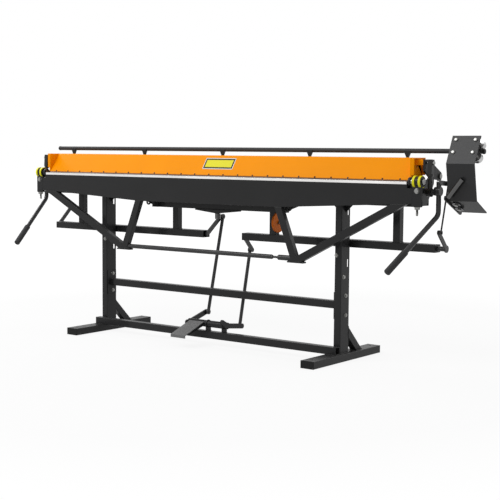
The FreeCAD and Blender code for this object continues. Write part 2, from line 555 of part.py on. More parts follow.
walls = [prism("XZ_Plane", tube_outline(x, "0"), "truss_back - truss_depth", "truss_depth")
         for x in ("inner_truss_top", "outer_truss_top")]
voids = [prism("XZ_Plane", tube_outline(x, "tube_wall"), "truss_back - truss_depth + tube_wall",
               "truss_depth - 2 * tube_wall")
         for x in ("inner_truss_top", "outer_truss_top")]
foot_plate = box("truss_foot + foot_plate_start", "truss_back - truss_depth", "truss_foot_height - foot_plate",
                 "foot_plate_length", "truss_depth", "foot_plate")
node("fold_truss", *pair(cut(fuse(*walls), *voids)), *pair(foot_plate))
TIE = (TRUSS_MID, "(truss_foot_height + tie_socket_radius)")
TIE_END = "(truss_foot - truss_size / 4)"
node("truss_tie",
     cut(bar_x(TIE, f"-{TIE_END}", f"tie_stud_start + {TIE_END}", "tie_radius"),
         *[mirror(wall) for wall in walls]),
     cut(bar_x(TIE, "tie_socket_start", f"{TIE_END} - tie_socket_start", "tie_socket_radius"), *walls))

# Ends of the folding beam: a block and hub that turn on the fold pin, with two yellow bands
BANDS_X = ("fold_end + band_inset", "fold_end + drum_width - band_inset - band_width")


def band(x):
    return cut(bar_x(FOLD_PIN, x, "band_width", "band_radius"),
               bar_x(FOLD_PIN, "fold_end - 1", "drum_width + 2", "drum_radius"))


block = cut(
    fuse(box("fold_end", FOLD_FRONT, "working_height - end_block_drop", "drum_width", "fold_depth",
             "end_block_drop - 10"),
         bar_x(FOLD_PIN, "fold_end", "drum_width", "drum_radius")),
    bar_x(FOLD_PIN, "fold_end - 1", "drum_width + 2", "fold_pin_radius + running_fit"),
    *[band(x) for x in BANDS_X])
node("fold_end_blocks", *pair(block))
node("drum_bands", *[ring for x in BANDS_X for ring in pair(band(x))])
STUD_X = "(fold_end + drum_width / 2)"
BLOCK_LOW = "(working_height - end_block_drop)"
FOLD_MID = f"({FOLD_FRONT} + fold_depth / 2)"
end_stud = fuse(
    bar_z(STUD_X, FOLD_MID, f"{BLOCK_LOW} - stud_drop", "stud_drop", "stud_radius"),
    hex_nut(STUD_X, FOLD_MID, f"{BLOCK_LOW} - nut_height", "nut_height", "nut_radius", "z"))
front_bolt = hex_nut(STUD_X, f"{FOLD_FRONT} - 8", "working_height - front_bolt_drop", "8", "12", "y")
tie_stud = fuse(
    bar_x(TIE, "tie_stud_start", "tie_socket_start - tie_stud_start", "tie_stud_radius"),
    *[hex_nut(x, *TIE, "8", "tie_stud_radius + 4", "x") for x in ("tie_stud_start", "tie_socket_start - 8")])
node("fold_hardware", *pair(end_stud), *pair(front_bolt), tie_stud)

# Clamping beam: a sloped face folded over the top, a back, and a steel nose blade
FACE_FOOT = ("face_foot", f"({BLADE_TOP} + 1)")
FACE_TOP = ("face_top", "clamp_top")
FACE_LEAN = lean(FACE_FOOT, FACE_TOP)
FACE_THICK = f"clamp_sheet / sin({FACE_LEAN})"
node("clamp_front", prism("YZ_Plane", [
    FACE_FOOT, FACE_TOP, ("clamp_back", "clamp_top"), ("clamp_back", "clamp_top - clamp_sheet"),
    (f"face_top + clamp_sheet * tan({FACE_LEAN} / 2)", "clamp_top - clamp_sheet"),
    (f"face_foot + {FACE_THICK}", FACE_FOOT[1])], "-clamp_half", "2 * clamp_half"))
node("clamp_back", prism("YZ_Plane", [
    ("clamp_back", "clamp_top - clamp_sheet"), ("clamp_back", BLADE_TOP), (f"blade_back", BLADE_TOP),
    ("blade_back", f"{BLADE_TOP} + clamp_sheet"), ("clamp_back - clamp_sheet", f"{BLADE_TOP} + clamp_sheet"),
    ("clamp_back - clamp_sheet", "clamp_top - clamp_sheet")], "-clamp_half", "2 * clamp_half"))
blade_low = "working_height + air_gap"
node("clamp_blade", prism("YZ_Plane", [
    ("blade_front", blade_low), ("blade_back + 30", blade_low), ("blade_back + 30", BLADE_TOP),
    ("blade_back", BLADE_TOP), ("blade_back", f"{BLADE_TOP} + clamp_sheet"),
    (f"face_foot + {FACE_THICK} + clamp_sheet / tan({FACE_LEAN})", f"{BLADE_TOP} + clamp_sheet"),
    (f"face_foot + {FACE_THICK}", FACE_FOOT[1]), (FACE_FOOT[0], FACE_FOOT[1]),
    ("blade_front + blade_height", BLADE_TOP)], "-clamp_half", "2 * clamp_half"))
end_sheet = box("clamp_half", "end_front", FACE_FOOT[1], "end_plate", "clamp_back - end_front",
                f"clamp_top - {FACE_FOOT[1]}")
rim = cut(
    box("clamp_half + end_plate", "end_front", "rim_low", "rim_reach", "clamp_back - end_front",
        "clamp_top - rim_low"),
    box("clamp_half + end_plate - 1", "end_front + rim_plate", "rim_low - 1", "rim_reach + 2",
        "clamp_back - end_front - 2 * rim_plate", "clamp_top - rim_low + 1 - rim_plate"))
tab = box("clamp_half + end_plate", "tab_front", "tab_low", "arm_start - clamp_half - end_plate",
          "tab_back - tab_front", "tab_high - tab_low")
node("clamp_end_frames", *pair(fuse(end_sheet, rim, tab)))
arm = prism("YZ_Plane", [
    ("lift_top_place - 18", f"{LIFT_TOP[1]} + 17"), ("lift_top_place + 26", f"{LIFT_TOP[1]} + 17"),
    ("clamp_pivot_place + 16", "clamp_pivot_height + 18"),
    ("clamp_pivot_place + 10", "clamp_pivot_height - 22"), ("hub_place + 20", "working_height + 14"),
    ("lift_top_place - 18", f"{LIFT_TOP[1]} - 40")], "arm_start", "arm_plate")
arm = cut(fuse(arm, bar_x(CLAMP_PIVOT, "arm_start", "arm_plate", "pivot_ear_radius")),
          bar_x(CLAMP_PIVOT, "arm_start - 1", "arm_plate + 2", "clamp_pin_radius + running_fit"),
          bar_x(LIFT_TOP, "arm_start - 1", "arm_plate + 2", "lift_pin_radius"))
node("clamp_arms", *pair(arm))
LIFT_X = "(crank_start + web_plate + 2)"
arm_pin = fuse(
    bar_x(LIFT_TOP, "arm_start + 0.5", f"{LIFT_X} + lift_width + 6 - arm_start", "lift_pin_radius"),
    hex_nut(f"{LIFT_X} + lift_width + air_gap", *LIFT_TOP, "7", "lift_pin_radius + 4", "x"))
node("clamp_arm_pins", *pair(arm_pin))

# Knife rail on five brackets behind the clamping beam
rail_body = bar_x(RAIL, "rail_left", "rail_right - rail_left", "rail_radius")
brackets = []
for k in (-2, -1, 0, 1, 2):
    mid = f"{k} * rail_bracket_pitch"
    outline_points = [
        (f"{mid} - bracket_top / 2", "rail_height"), (f"{mid} - bracket_foot / 2", "rail_height - rail_radius - 22"),
        (f"{mid} - bracket_foot / 2", "rail_height - bracket_drop"),
        (f"{mid} + bracket_foot / 2", "rail_height - bracket_drop"),
        (f"{mid} + bracket_foot / 2", "rail_height - rail_radius - 22"), (f"{mid} + bracket_top / 2", "rail_height")]
    brackets.append(cut(prism("XZ_Plane", outline_points, "clamp_back", "rail_place - clamp_back"),
                        bar_x(RAIL, f"{mid} - bracket_top", "2 * bracket_top", "rail_radius")))
node("rail_brackets", *brackets)
node("knife_rail", rail_body)
node("rail_caps", bar_x(RAIL, "rail_left - rail_cap", "rail_cap", "rail_radius + 1"),
     bar_x(RAIL, "rail_right", "rail_cap", "rail_radius + 1"))

# Blank plate on the sloped face
label = turn(doc.addObject("Part::Box", "Plate"), (1, 0, 0), 30, FACE_LEAN)
bind(label, Length="label_width", Width="label_height", Height="label_plate")
node("label_plate", place(label, "label_start", f"face_foot + label_rise * cos({FACE_LEAN})",
                          f"{FACE_FOOT[1]} + label_rise * sin({FACE_LEAN})"))


# Handles: a small crankshaft in the bearing block, with the bent lever on its outer end
def bent_lever():
    path = doc.addObject("Sketcher::SketchObject", "Path")
    path.Placement = FreeCAD.Placement(FreeCAD.Vector(), FreeCAD.Rotation(FreeCAD.Vector(1, 0, 0), 90))
    at = FreeCAD.Vector
    path.addGeometry(Part.LineSegment(at(0, 0, 0), at(0, -97.2, 0)), False)
    arc = Part.Circle(at(40, -97.2, 0), at(0, 0, 1), 40)
    path.addGeometry(Part.ArcOfCircle(arc, 3.14159265, 4.0597), False)
    path.addGeometry(Part.LineSegment(at(15.7, -129, 0), at(340.1, -377, 0)), False)
    fixed = [("Coincident", 0, 1, -1, 1), ("Tangent", 0, 2, 1, 1), ("Tangent", 1, 2, 2, 1), ("Vertical", 0)]
    for values in fixed:
        path.addConstraint(Sketcher.Constraint(*values))
    driven = [(("DistanceY", 0, 2, -1, 1, 97.2), "handle_drop"), (("Radius", 1, 40.0), "handle_bend"),
              (("DistanceX", -1, 1, 2, 2, 340.1), "sqrt(handle_reach^2 + handle_inset^2)"),
              (("DistanceY", 2, 2, -1, 1, 377.0), "handle_fall")]
    for values, text in driven:
        index = path.addConstraint(Sketcher.Constraint(*values))
        path.setExpression(f"Constraints[{index}]", ref(text))
    circle = bind(doc.addObject("Part::Circle", "Section"), Radius="handle_radius")
    lever_bar = doc.addObject("Part::Sweep", "Lever")
    lever_bar.Sections, lever_bar.Spine = [circle], (path, ["Edge1", "Edge2", "Edge3"])
    lever_bar.Solid, lever_bar.Frenet = True, False
    turn(lever_bar, (0, 0, 1), 254, "180 deg + atan2(handle_reach; handle_inset)")
    return place(lever_bar, "handle_line", *HUB)


def crank_parts():
    return [
        bar_x(HUB, f"{BED_END} - 8", f"crank_start + 8 - {BED_END}", "axle_radius"),
        lever(HUB, THROW, "crank_start", "web_plate", "28"),
        bar_x(THROW, "crank_start", "2 * web_plate + lift_width + 4", "crank_pin_radius"),
        lever(HUB, THROW, f"{LIFT_X} + lift_width + 2", "web_plate", "28"),
        bar_x(HUB, f"{LIFT_X} + lift_width + 2", f"handle_line + 13 - {LIFT_X} - lift_width - 2", "hub_radius"),
        bent_lever()]


right_tip = bar_x(RIGHT_LEVER, "right_crank", f"right_thin_line + thin_rod_radius + 2 - right_crank",
                  "link_pin_radius")
right_cap = bar_x(RIGHT_LEVER, "right_thin_line + thin_rod_radius + air_gap", "4", "link_pin_radius + 3")
STUB_TOP = (HUB[0], f"({HUB[1]} + handle_stub)")
node("handle_right", fuse(*crank_parts(), right_tip, right_cap,
                          bar_z("handle_line", *HUB, "handle_stub + 6", "handle_radius"),
                          lever(STUB_TOP, RIGHT_LEVER, "right_crank", "web_plate", "crank_width")))
left_lug = bar_x(LEFT_LEVER, "handle_line - 15", "15", "10")
left_tip = bar_x(LEFT_LEVER, "left_thin_line - thin_eye_width / 2 - 1",
                 "handle_line - left_thin_line + thin_eye_width / 2 + 1", "link_pin_radius")
node("handle_left", mirror(fuse(*crank_parts(), left_lug, left_tip)))


# Grips: sleeves on the last stretch of each handle
def grip():
    sleeve = doc.addObject("Part::Feature", "Grip")
    v = {word: float(sheet.get(word)) for word in (
        "handle_line", "handle_inset", "hub_place", "handle_reach", "hub_height", "handle_fall",
        "handle_drop", "handle_bend", "grip_radius", "grip_length", "handle_radius", "running_fit")}
    run = (v["handle_reach"] ** 2 + v["handle_inset"] ** 2) ** 0.5
    # the straight stretch is the tangent from the bend circle to the handle's end
    from_bend = FreeCAD.Vector(run - v["handle_bend"], v["handle_drop"] - v["handle_fall"], 0)
    reach = (from_bend.Length ** 2 - v["handle_bend"] ** 2) ** 0.5
    line = from_bend * reach + FreeCAD.Vector(-from_bend.y, from_bend.x, 0) * v["handle_bend"]
    line.normalize()
    flat = FreeCAD.Vector(-v["handle_inset"], -v["handle_reach"], 0).normalize()
    way = flat * line.x + FreeCAD.Vector(0, 0, line.y)
    tip = FreeCAD.Vector(v["handle_line"] - v["handle_inset"], v["hub_place"] - v["handle_reach"],
                         v["hub_height"] - v["handle_fall"])
    outer = Part.makeCylinder(v["grip_radius"], v["grip_length"] + 4, tip + way * 4, way * -1)
    inner = Part.makeCylinder(v["handle_radius"] + v["running_fit"], v["grip_length"], tip, way * -1)
    sleeve.Shape = outer.cut(inner)
    sleeve.Placement = FreeCAD.Placement()
    return sleeve


right_grip = grip()
node("grip_right", right_grip)
node("grip_left", mirror(right_grip))


# Lift links: screw links from each crank pin up to the clamp arm
def along_lift(distance):
    """Point on the link's axis, measured from the crank pin."""
    share = f"(({distance}) / {span(THROW, LIFT_TOP)})"
    return (f"({THROW[0]} + {share} * ({LIFT_TOP[0]} - {THROW[0]}))",
            f"({THROW[1]} + {share} * ({LIFT_TOP[1]} - {THROW[1]}))")


LIFT_MID = f"({LIFT_X} + lift_width / 2)"


def lift_link():
    body = fuse(
        bar_x(THROW, LIFT_X, "lift_width", "strap_radius"),
        rod(along_lift("12"), along_lift("66"), LIFT_MID, "lift_tube"),
        rod(along_lift("60"), along_lift("78"), LIFT_MID, "lift_ring"),
        rod(along_lift("77"), along_lift("90"), LIFT_MID, "lift_band"),
        strip(along_lift("89"), along_lift("160"), LIFT_X, "lift_width", "lift_block"))
    return cut(body, bar_x(THROW, f"{LIFT_X} - 1", "lift_width + 2", "crank_pin_radius + lift_play"),
               bar_x(LIFT_TOP, f"{LIFT_X} - 1", "lift_width + 2", "lift_pin_radius + running_fit"))


node("lift_link_right", lift_link())
node("lift_link_left", mirror(lift_link()))


# Torsion shafts: each carries a crank for its pedal rod and one for its handle rod
def torsion_shaft(end, inner, outer, crank_x, pin_x, pin_end):
    rod_pin = f"(inner_crank - rod_line + eye_width / 2 + 3)"
    return fuse(
        bar_x(SHAFT, "inner_crank", f"{end} - inner_crank", "shaft_radius"),
        lever(SHAFT, inner, "inner_crank", "crank_plate", "crank_width"),
        bar_x(inner, f"inner_crank - {rod_pin}", f"{rod_pin} + crank_plate", "link_pin_radius"),
        lever(SHAFT, outer, crank_x, "web_plate", "crank_width"),
        bar_x(outer, pin_x, f"{pin_end} - {pin_x}", "link_pin_radius"),
        bar_x(SHAFT, crank_x, "web_plate", "shaft_radius + 6"))


node("torsion_shaft_right", torsion_shaft(
    "(right_crank + web_plate)", RIGHT_INNER, RIGHT_OUTER, "right_crank", "right_crank",
    "(right_thin_line + thin_eye_width / 2 + 4)"))
node("torsion_shaft_left", mirror(torsion_shaft(
    "(left_crank + web_plate)", LEFT_INNER, LEFT_OUTER, "left_crank", "left_crank",
    "(left_thin_line + thin_eye_width / 2 + 4)")))

# Rods: fit at one end, with play at the end where the linkage closes
FIT = "link_pin_radius + running_fit"
node("thin_rod_right", eye_rod(RIGHT_LEVER, RIGHT_OUTER, "right_thin_line", "thin_rod_radius",
                               "thin_eye_radius", "thin_eye_width", FIT, "link_pin_radius + right_thin_play"))
node("thin_rod_left", mirror(eye_rod(LEFT_LEVER, LEFT_OUTER, "left_thin_line", "thin_rod_radius",
                                     "thin_eye_radius", "thin_eye_width", FIT,
                                     "link_pin_radius + left_thin_play")))
node("long_rod_right", eye_rod(RIGHT_INNER, RIGHT_ARM, "rod_line", "rod_radius", "eye_radius",
                               "eye_width", FIT, "link_pin_radius + rod_play"))
node("long_rod_left", mirror(eye_rod(LEFT_INNER, LEFT_ARM, "rod_line", "rod_radius", "eye_radius",
                                     "eye_width", FIT, "link_pin_radius + rod_play")))

# Pedal: a cross tube with an arm at each end, and the tread on two lugs
PIN_START = "(rod_line - eye_width / 2 - 3)"


def pedal_arm(back, toe):
    return [lever(back, PEDAL, "inner_crank", "crank_plate", "pedal_arm_width"),
            lever(PEDAL, toe, "inner_crank", "crank_plate", "pedal_arm_width"),
            bar_x(back, PIN_START, f"inner_crank + crank_plate - {PIN_START}", "link_pin_radius")]


left_arm = mirror(fuse(*pedal_arm(LEFT_ARM, LEFT_TOE)))
TREAD_FRONT = ("tread_front", "tread_front_height")
TREAD_BACK = ("tread_back", "tread_back_height")
lugs = [strip((PEDAL[0], f"({PEDAL[1]} - 4)"), ("(tread_front + 40)", "(tread_front_height + 4)"), x, "8", "16")
        for x in ("tread_start + 12", "tread_start + tread_width - 20")]
node("pedal_frame", fuse(
    bar_x(PEDAL, "-pedal_shaft_reach", "2 * pedal_shaft_reach", "pedal_shaft_radius"),
    *pedal_arm(RIGHT_ARM, RIGHT_TOE), left_arm, *lugs))
node("pedal_plate", cut(
    fuse(strip(TREAD_FRONT, TREAD_BACK, "tread_start", "tread_width", "tread_plate"),
         box("tread_start", "tread_front", "tread_front_height - tread_lip", "tread_width", "tread_plate",
             "tread_lip")),
    bar_x(PEDAL, "tread_start - 1", "tread_width + 2", "pedal_shaft_radius + air_gap"),
    *[strip((PEDAL[0], f"({PEDAL[1]} - 4)"), ("(tread_front + 40)", "(tread_front_height + 4)"),
            f"{x} - air_gap", "8 + 2 * air_gap", "16 + 2 * air_gap")
      for x in ("tread_start + 12", "tread_start + tread_width - 20")]))

# Knife carriage: a sheet bent twice, which rides the rail on four grooved rollers
FACE = "(knife_lean * 1 deg)"
# unit steps: up the carriage's upper face, and square to it towards the back
UP = (f"cos({FACE})", f"sin({FACE})")
BACK = (f"sin({FACE})", f"(-cos({FACE}))")


def from_rail(up, back):
    return tuple(f"({r} + ({up}) * {u} + ({back}) * {b})" for r, u, b in zip(RAIL, UP, BACK))


ROLLER_STEP = "(rail_radius + air_gap + roller_radius - 4)"
TOP = from_rail(f"{ROLLER_STEP} + knife_rise", "-knife_stand")
BEND = from_rail(f"-({ROLLER_STEP} + knife_drop)", "-knife_stand")
LOW = (f"({BEND[0]} + knife_setback)", f"({BEND[1]} - knife_fall)")
TIP = (f"({LOW[0]} + flange_back)", f"({LOW[1]} - flange_fall)")
ROLLERS = {
    f"{high}_{side}": (f"(knife_start + {x})", f"{sign} * {ROLLER_STEP}")
    for high, sign in (("upper", 1), ("lower", -1))
    for side, x in (("left", "roller_setin"), ("right", "roller_setin + roller_pitch"))}


def knife_bar(x, up, start, length, radius):
    """Round bar square to the carriage's upper face, from start behind the rail's centre."""
    a, b = from_rail(up, start), from_rail(up, f"({start}) + ({length})")
    return rod(a, b, x, radius)


sheet_parts = [strip(a, b, "knife_start", "knife_width", "knife_sheet")
               for a, b in ((TOP, BEND), (BEND, LOW), (LOW, TIP))]
sheet_parts += [bar_x(p, "knife_start", "knife_width", "knife_sheet / 2") for p in (BEND, LOW)]
arm_bar = lever((f"({LOW[0]} - arm_nose_front)", f"({LOW[1]} + arm_nose_rise)"),
                (f"({LOW[0]} + arm_tail_back)", f"({LOW[1]} - arm_tail_fall)"), "knife_start - 8", "8",
                "arm_height")
ROLLER_FRONT = "(-knife_stand)"
node("knife_plate", cut(
    fuse(*sheet_parts, arm_bar),
    *[knife_bar(x, up, f"{ROLLER_FRONT} - 20", "40", "roller_bolt + bolt_fit")
      for x, up in ROLLERS.values()]))

hardware = []
for x, up in ROLLERS.values():
    hardware.append(fuse(
        knife_bar(x, up, f"{ROLLER_FRONT} - knife_sheet / 2 - 7", "7", "bolt_head"),
        knife_bar(x, up, f"{ROLLER_FRONT} - knife_sheet / 2", f"-{ROLLER_FRONT} + knife_sheet / 2 + roller_width / 2 + 9",
                  "roller_bolt"),
        knife_bar(x, up, f"{ROLLER_FRONT} + knife_sheet / 2",
                  f"-{ROLLER_FRONT} - knife_sheet / 2 - roller_width / 2 - air_gap", "spacer_radius"),
        knife_bar(x, up, "roller_width / 2 + air_gap", "8", "bolt_head")))

# Rollers: each runs on the rail in a V groove
GROOVE_FLOOR = f"({ROLLER_STEP} - (rail_radius + air_gap) * sqrt(2))"
GROOVE_HALF = f"(roller_radius - {GROOVE_FLOOR})"


def groove_cone(x, up, sign):
    """Half of the groove, from its floor out to the rim."""
    a, b = from_rail(up, "0"), from_rail(up, f"{sign} * {GROOVE_HALF}")
    cone = turn(doc.addObject("Part::Cone", "Cone"), (1, 0, 0), 30, f"{lean(a, b)} - 90 deg")
    return place(bind(cone, Radius1=GROOVE_FLOOR, Radius2="roller_radius", Height=GROOVE_HALF), x, *a)


for name, (x, up) in ROLLERS.items():
    wheel = [groove_cone(x, up, sign) for sign in (-1, 1)]
    wheel += [knife_bar(x, up, start, f"roller_width / 2 - {GROOVE_HALF}", "roller_radius")
              for start in ("-roller_width / 2", GROOVE_HALF)]
    bore = knife_bar(x, up, "-roller_width", "2 * roller_width", "roller_bolt + running_fit")
    node(f"roller_{name}", cut(fuse(*wheel), bore))

# Cutting discs on the lower flange, side by side so that their edges overlap like shears
CUTTER_X = "(knife_start + cutter_inset)"
FLANGE = "atan2(-flange_fall; flange_back)"


def on_flange(along, out):
    return (f"({LOW[0]} + ({along}) * cos({FLANGE}) + ({out}) * sin({FLANGE}))",
            f"({LOW[1]} + ({along}) * sin({FLANGE}) - ({out}) * cos({FLANGE}))")


CUTTERS = {"upper": ("first_cutter", "knife_sheet / 2 + air_gap"),
           "lower": ("(first_cutter + cutter_spacing)", "knife_sheet / 2 + 2 * air_gap + cutter_plate")}
for name, (along, out) in CUTTERS.items():
    disc = rod(on_flange(along, out), on_flange(along, f"{out} + cutter_plate"), CUTTER_X, "cutter_radius")
    bore = rod(on_flange(along, "0"), on_flange(along, "40"), CUTTER_X, "cutter_bolt + running_fit")
    node(f"cutter_{name}", cut(disc, bore))
    hardware.append(fuse(
        rod(on_flange(along, "knife_sheet / 2"), on_flange(along, f"{out} + cutter_plate + air_gap + 6"), CUTTER_X,
            "cutter_bolt"),
        rod(on_flange(along, f"{out} + cutter_plate + air_gap"), on_flange(along, f"{out} + cutter_plate + air_gap + 5"),
            CUTTER_X, "bolt_head")))

# Strut in front of the carriage, from the end of its arm up to the sheet
strut = doc.addObject("Part::Feature", "Strut")
run = FreeCAD.Vector(*[float(sheet.get(f"strut_run_{axis}")) for axis in ("x", "back", "rise")])
strut.Shape = Part.makeCylinder(float(sheet.get("strut_radius")), run.Length, FreeCAD.Vector(), run)
place(strut, "knife_start + strut_foot_x", f"{LOW[0]} - strut_foot_front", f"{LOW[1]} + strut_foot_rise")
hardware.append(cut(strut, *[strip(a, b, "knife_start - 9", "knife_width + 10", "knife_sheet")
                             for a, b in ((TOP, BEND), (BEND, LOW), (LOW, TIP))]))
node("knife_hardware", *hardware)

# Locking disc: turns on its stud beside the inner right hanger
node("locking_disc", cut(
    bar_x(DISC, f"{HANGER_FACE} + air_gap", "disc_plate", "disc_radius"),
    bar_x(DISC, HANGER_FACE, "2 * disc_plate", "disc_pin + running_fit")))

doc.recompute()

failed = [f"{item.Name} {item.State}" for item in doc.Objects if {"Invalid", "Error"} & set(item.State)]
failed += [item.Label for item in nodes if item.Shape.isNull() or not item.Shape.isValid()]
if failed:
    raise RuntimeError("failed: " + ", ".join(failed[:20]))

os.makedirs("parts", exist_ok=True)
for item in nodes:
    item.Shape.exportStep(f"parts/{item.Label}.step")
    print(f"{item.Label}: {len(item.Shape.Solids)} solids, {item.Shape.Volume / 1e3:.1f} cm3")
print(len(nodes), "nodes")
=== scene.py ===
import json
import math
import bmesh
import bpy
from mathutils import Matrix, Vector

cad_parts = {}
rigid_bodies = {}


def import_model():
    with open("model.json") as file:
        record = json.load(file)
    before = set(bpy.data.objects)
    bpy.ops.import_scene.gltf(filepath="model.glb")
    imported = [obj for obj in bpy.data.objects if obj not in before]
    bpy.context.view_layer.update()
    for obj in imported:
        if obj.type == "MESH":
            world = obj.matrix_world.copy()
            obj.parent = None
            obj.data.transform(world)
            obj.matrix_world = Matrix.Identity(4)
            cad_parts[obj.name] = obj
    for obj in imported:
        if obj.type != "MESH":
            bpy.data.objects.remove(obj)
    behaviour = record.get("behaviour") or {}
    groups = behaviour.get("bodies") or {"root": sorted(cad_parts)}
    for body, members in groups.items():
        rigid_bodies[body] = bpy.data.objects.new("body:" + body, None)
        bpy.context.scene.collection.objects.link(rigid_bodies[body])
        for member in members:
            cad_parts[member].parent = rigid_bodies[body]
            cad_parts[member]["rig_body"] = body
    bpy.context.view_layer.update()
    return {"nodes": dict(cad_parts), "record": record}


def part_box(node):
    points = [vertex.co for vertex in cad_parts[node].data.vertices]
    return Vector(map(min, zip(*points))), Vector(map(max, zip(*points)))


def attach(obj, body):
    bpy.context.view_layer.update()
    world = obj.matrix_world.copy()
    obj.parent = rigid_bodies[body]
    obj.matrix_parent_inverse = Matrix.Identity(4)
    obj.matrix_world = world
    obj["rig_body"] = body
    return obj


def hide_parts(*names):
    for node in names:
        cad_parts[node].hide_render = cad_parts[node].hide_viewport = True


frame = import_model()

# Studio: a pale floor that keeps a soft shadow, a white surround, one large lamp in front on the left,
# two weaker ones at the left end and behind, and the camera low in front of the knife end.
STUDIO_WHITE = (1.0, 1.0, 1.0, 1.0)
SURROUND_LIGHT = 0.55
FLOOR_REACH = 40
FLOOR_GREY = (0.5, 0.5, 0.5, 1)
FLOOR_GLOW = 1.08
SHADOW_FADES_FROM = 2.2
SHADOW_GONE_AT = 5.0
GLOW_UNDER_MACHINE = 0.82
BED_MIDDLE = (0, 0, 0.8)
LEFT_END = (-1.0, 0, 0.7)
CAMERA_AT = (4.058, -5.056, 1.095)
CAMERA_TURN = 37.14
CAMERA_DIP = 4.98
CAMERA_ROLL = 0.42
CAMERA_LENS = 83.2
CAMERA_SENSOR = 36
CAMERA_SIGHT = 200


def step(tree, kind, inputs=(), **settings):
    """One node of a tree. An input given a socket is linked, any other gets the value."""
    made = tree.nodes.new(kind)
    for key, value in settings.items():
        setattr(made, key, value)
    for key, value in dict(inputs).items():
        if isinstance(value, bpy.types.NodeSocket):
            tree.links.new(value, made.inputs[key])
        else:
            made.inputs[key].default_value = value
    return made


def maths(tree, operation, *values, **settings):
    """The result of one operation on sockets or plain numbers."""
    made = step(tree, "ShaderNodeMath", enumerate(values), operation=operation, **settings)
    return made.outputs[0]


def ranged(tree, value, low, high, start=0.0, end=1.0):
    """A value that goes from start to end while the given one goes from low to high."""
    made = step(tree, "ShaderNodeMapRange", {0: value, 1: low, 2: high, 3: start, 4: end})
    return made.outputs[0]


def own_place(tree):
    """The place on the piece, in metres, which is the same in every view and pose."""
    return step(tree, "ShaderNodeTexCoord").outputs["Object"]


def seen_by(tree, *rays):
    """1 for the named kinds of ray and 0 for all others."""
    path = step(tree, "ShaderNodeLightPath").outputs
    seen = path[rays[0]]
    for ray in rays[1:]:
        seen = maths(tree, "MAXIMUM", seen, path[ray])
    return seen


def surround():
    """White behind the object and in its reflections, and a plainer light on it."""
    world = bpy.data.worlds.new("surround")
    world.use_nodes = True
    tree = world.node_tree
    tree.nodes.clear()
    seen = seen_by(tree, "Is Camera Ray", "Is Glossy Ray", "Is Transmission Ray")
    shown = step(tree, "ShaderNodeBackground", {"Color": STUDIO_WHITE, "Strength": 1.0})
    cast = step(tree, "ShaderNodeBackground", {"Color": STUDIO_WHITE, "Strength": SURROUND_LIGHT})
    mix = step(tree, "ShaderNodeMixShader", {0: seen, 1: cast.outputs[0], 2: shown.outputs[0]})
    step(tree, "ShaderNodeOutputWorld", {"Surface": mix.outputs[0]})
    bpy.context.scene.world = world


def floor_paint():
    """White to the eye far away, and matt enough near the machine to hold its shadow."""
    paint = bpy.data.materials.new("floor_paint")
    paint.use_nodes = True
    tree = paint.node_tree
    tree.nodes.clear()
    seen = seen_by(tree, "Is Camera Ray", "Is Glossy Ray")
    far = step(tree, "ShaderNodeVectorMath", {0: own_place(tree)}, operation="LENGTH").outputs["Value"]
    white = ranged(tree, far, SHADOW_FADES_FROM, SHADOW_GONE_AT, GLOW_UNDER_MACHINE, 1.0)
    share = maths(tree, "MULTIPLY", seen, white)
    matt = step(tree, "ShaderNodeBsdfDiffuse", {"Color": FLOOR_GREY})
    glow = step(tree, "ShaderNodeEmission", {"Color": STUDIO_WHITE, "Strength": FLOOR_GLOW})
    mix = step(tree, "ShaderNodeMixShader", {0: share, 1: matt.outputs[0], 2: glow.outputs[0]})
    step(tree, "ShaderNodeOutputMaterial", {"Surface": mix.outputs[0]})
    return paint


def floor():
    """One large square that counts as stage, not as a piece of the machine."""
    bm = bmesh.new()
    bmesh.ops.create_grid(bm, x_segments=1, y_segments=1, size=FLOOR_REACH)
    mesh = bpy.data.meshes.new("floor")
    bm.to_mesh(mesh)
    bm.free()
    mesh.materials.append(floor_paint())
    obj = bpy.data.objects.new("floor", mesh)
    bpy.context.scene.collection.objects.link(obj)


def lamp(name, place, aim, width, height, watts):
    """A rectangular lamp turned towards the aim."""
    light = bpy.data.lights.new(name, "AREA")
    light.shape = "RECTANGLE"
    light.size = width
    light.size_y = height
    light.energy = watts
    obj = bpy.data.objects.new(name, light)
    obj.location = place
    obj.rotation_euler = (Vector(aim) - Vector(place)).to_track_quat("-Z", "Y").to_euler()
    bpy.context.scene.collection.objects.link(obj)


surround()
floor()
lamp("front_lamp", (-2.4, -4.2, 5.2), BED_MIDDLE, width=4.5, height=3.0, watts=225)
lamp("left_lamp", (-5.0, 0.6, 3.2), LEFT_END, width=1.2, height=1.2, watts=60)
lamp("rear_lamp", (3.5, 4.5, 3.8), BED_MIDDLE, width=3.0, height=2.0, watts=90)

turn = math.radians(CAMERA_TURN)
dip = math.radians(CAMERA_DIP)
sight = Vector((-math.sin(turn) * math.cos(dip), math.cos(turn) * math.cos(dip), -math.sin(dip)))
camera = bpy.data.objects.new("camera", bpy.data.cameras.new("camera"))
camera.data.lens = CAMERA_LENS
camera.data.sensor_width = CAMERA_SENSOR
camera.data.clip_end = CAMERA_SIGHT
camera.location = CAMERA_AT
camera.rotation_euler = sight.to_track_quat("-Z", "Y").to_euler()
camera.rotation_euler.rotate_axis("Z", math.radians(CAMERA_ROLL))
bpy.context.scene.collection.objects.link(camera)
bpy.context.scene.camera = camera
bpy.context.scene.view_settings.view_transform = "Standard"

# Feet: rectangular steel tubes, sawn, drilled for floor anchors and powder coated charcoal with the rest
# of the stand. Every coat has a fine orange-peel grain, thin spots along its edges and a lighter tone on
# the faces that look up, partly dust and partly painted light on the tops.
MM = 0.001
CHARCOAL = (0.017, 0.017, 0.0175, 1)
BARE_STEEL = (0.30, 0.30, 0.29, 1)
# The light grey laid on faces that look up: partly dust, partly painted light on the tops.
DUST_AND_TOP_LIGHT_COLOUR = (0.16, 0.155, 0.15, 1)
MID_GREY = (0.5, 0.5, 0.5, 1)


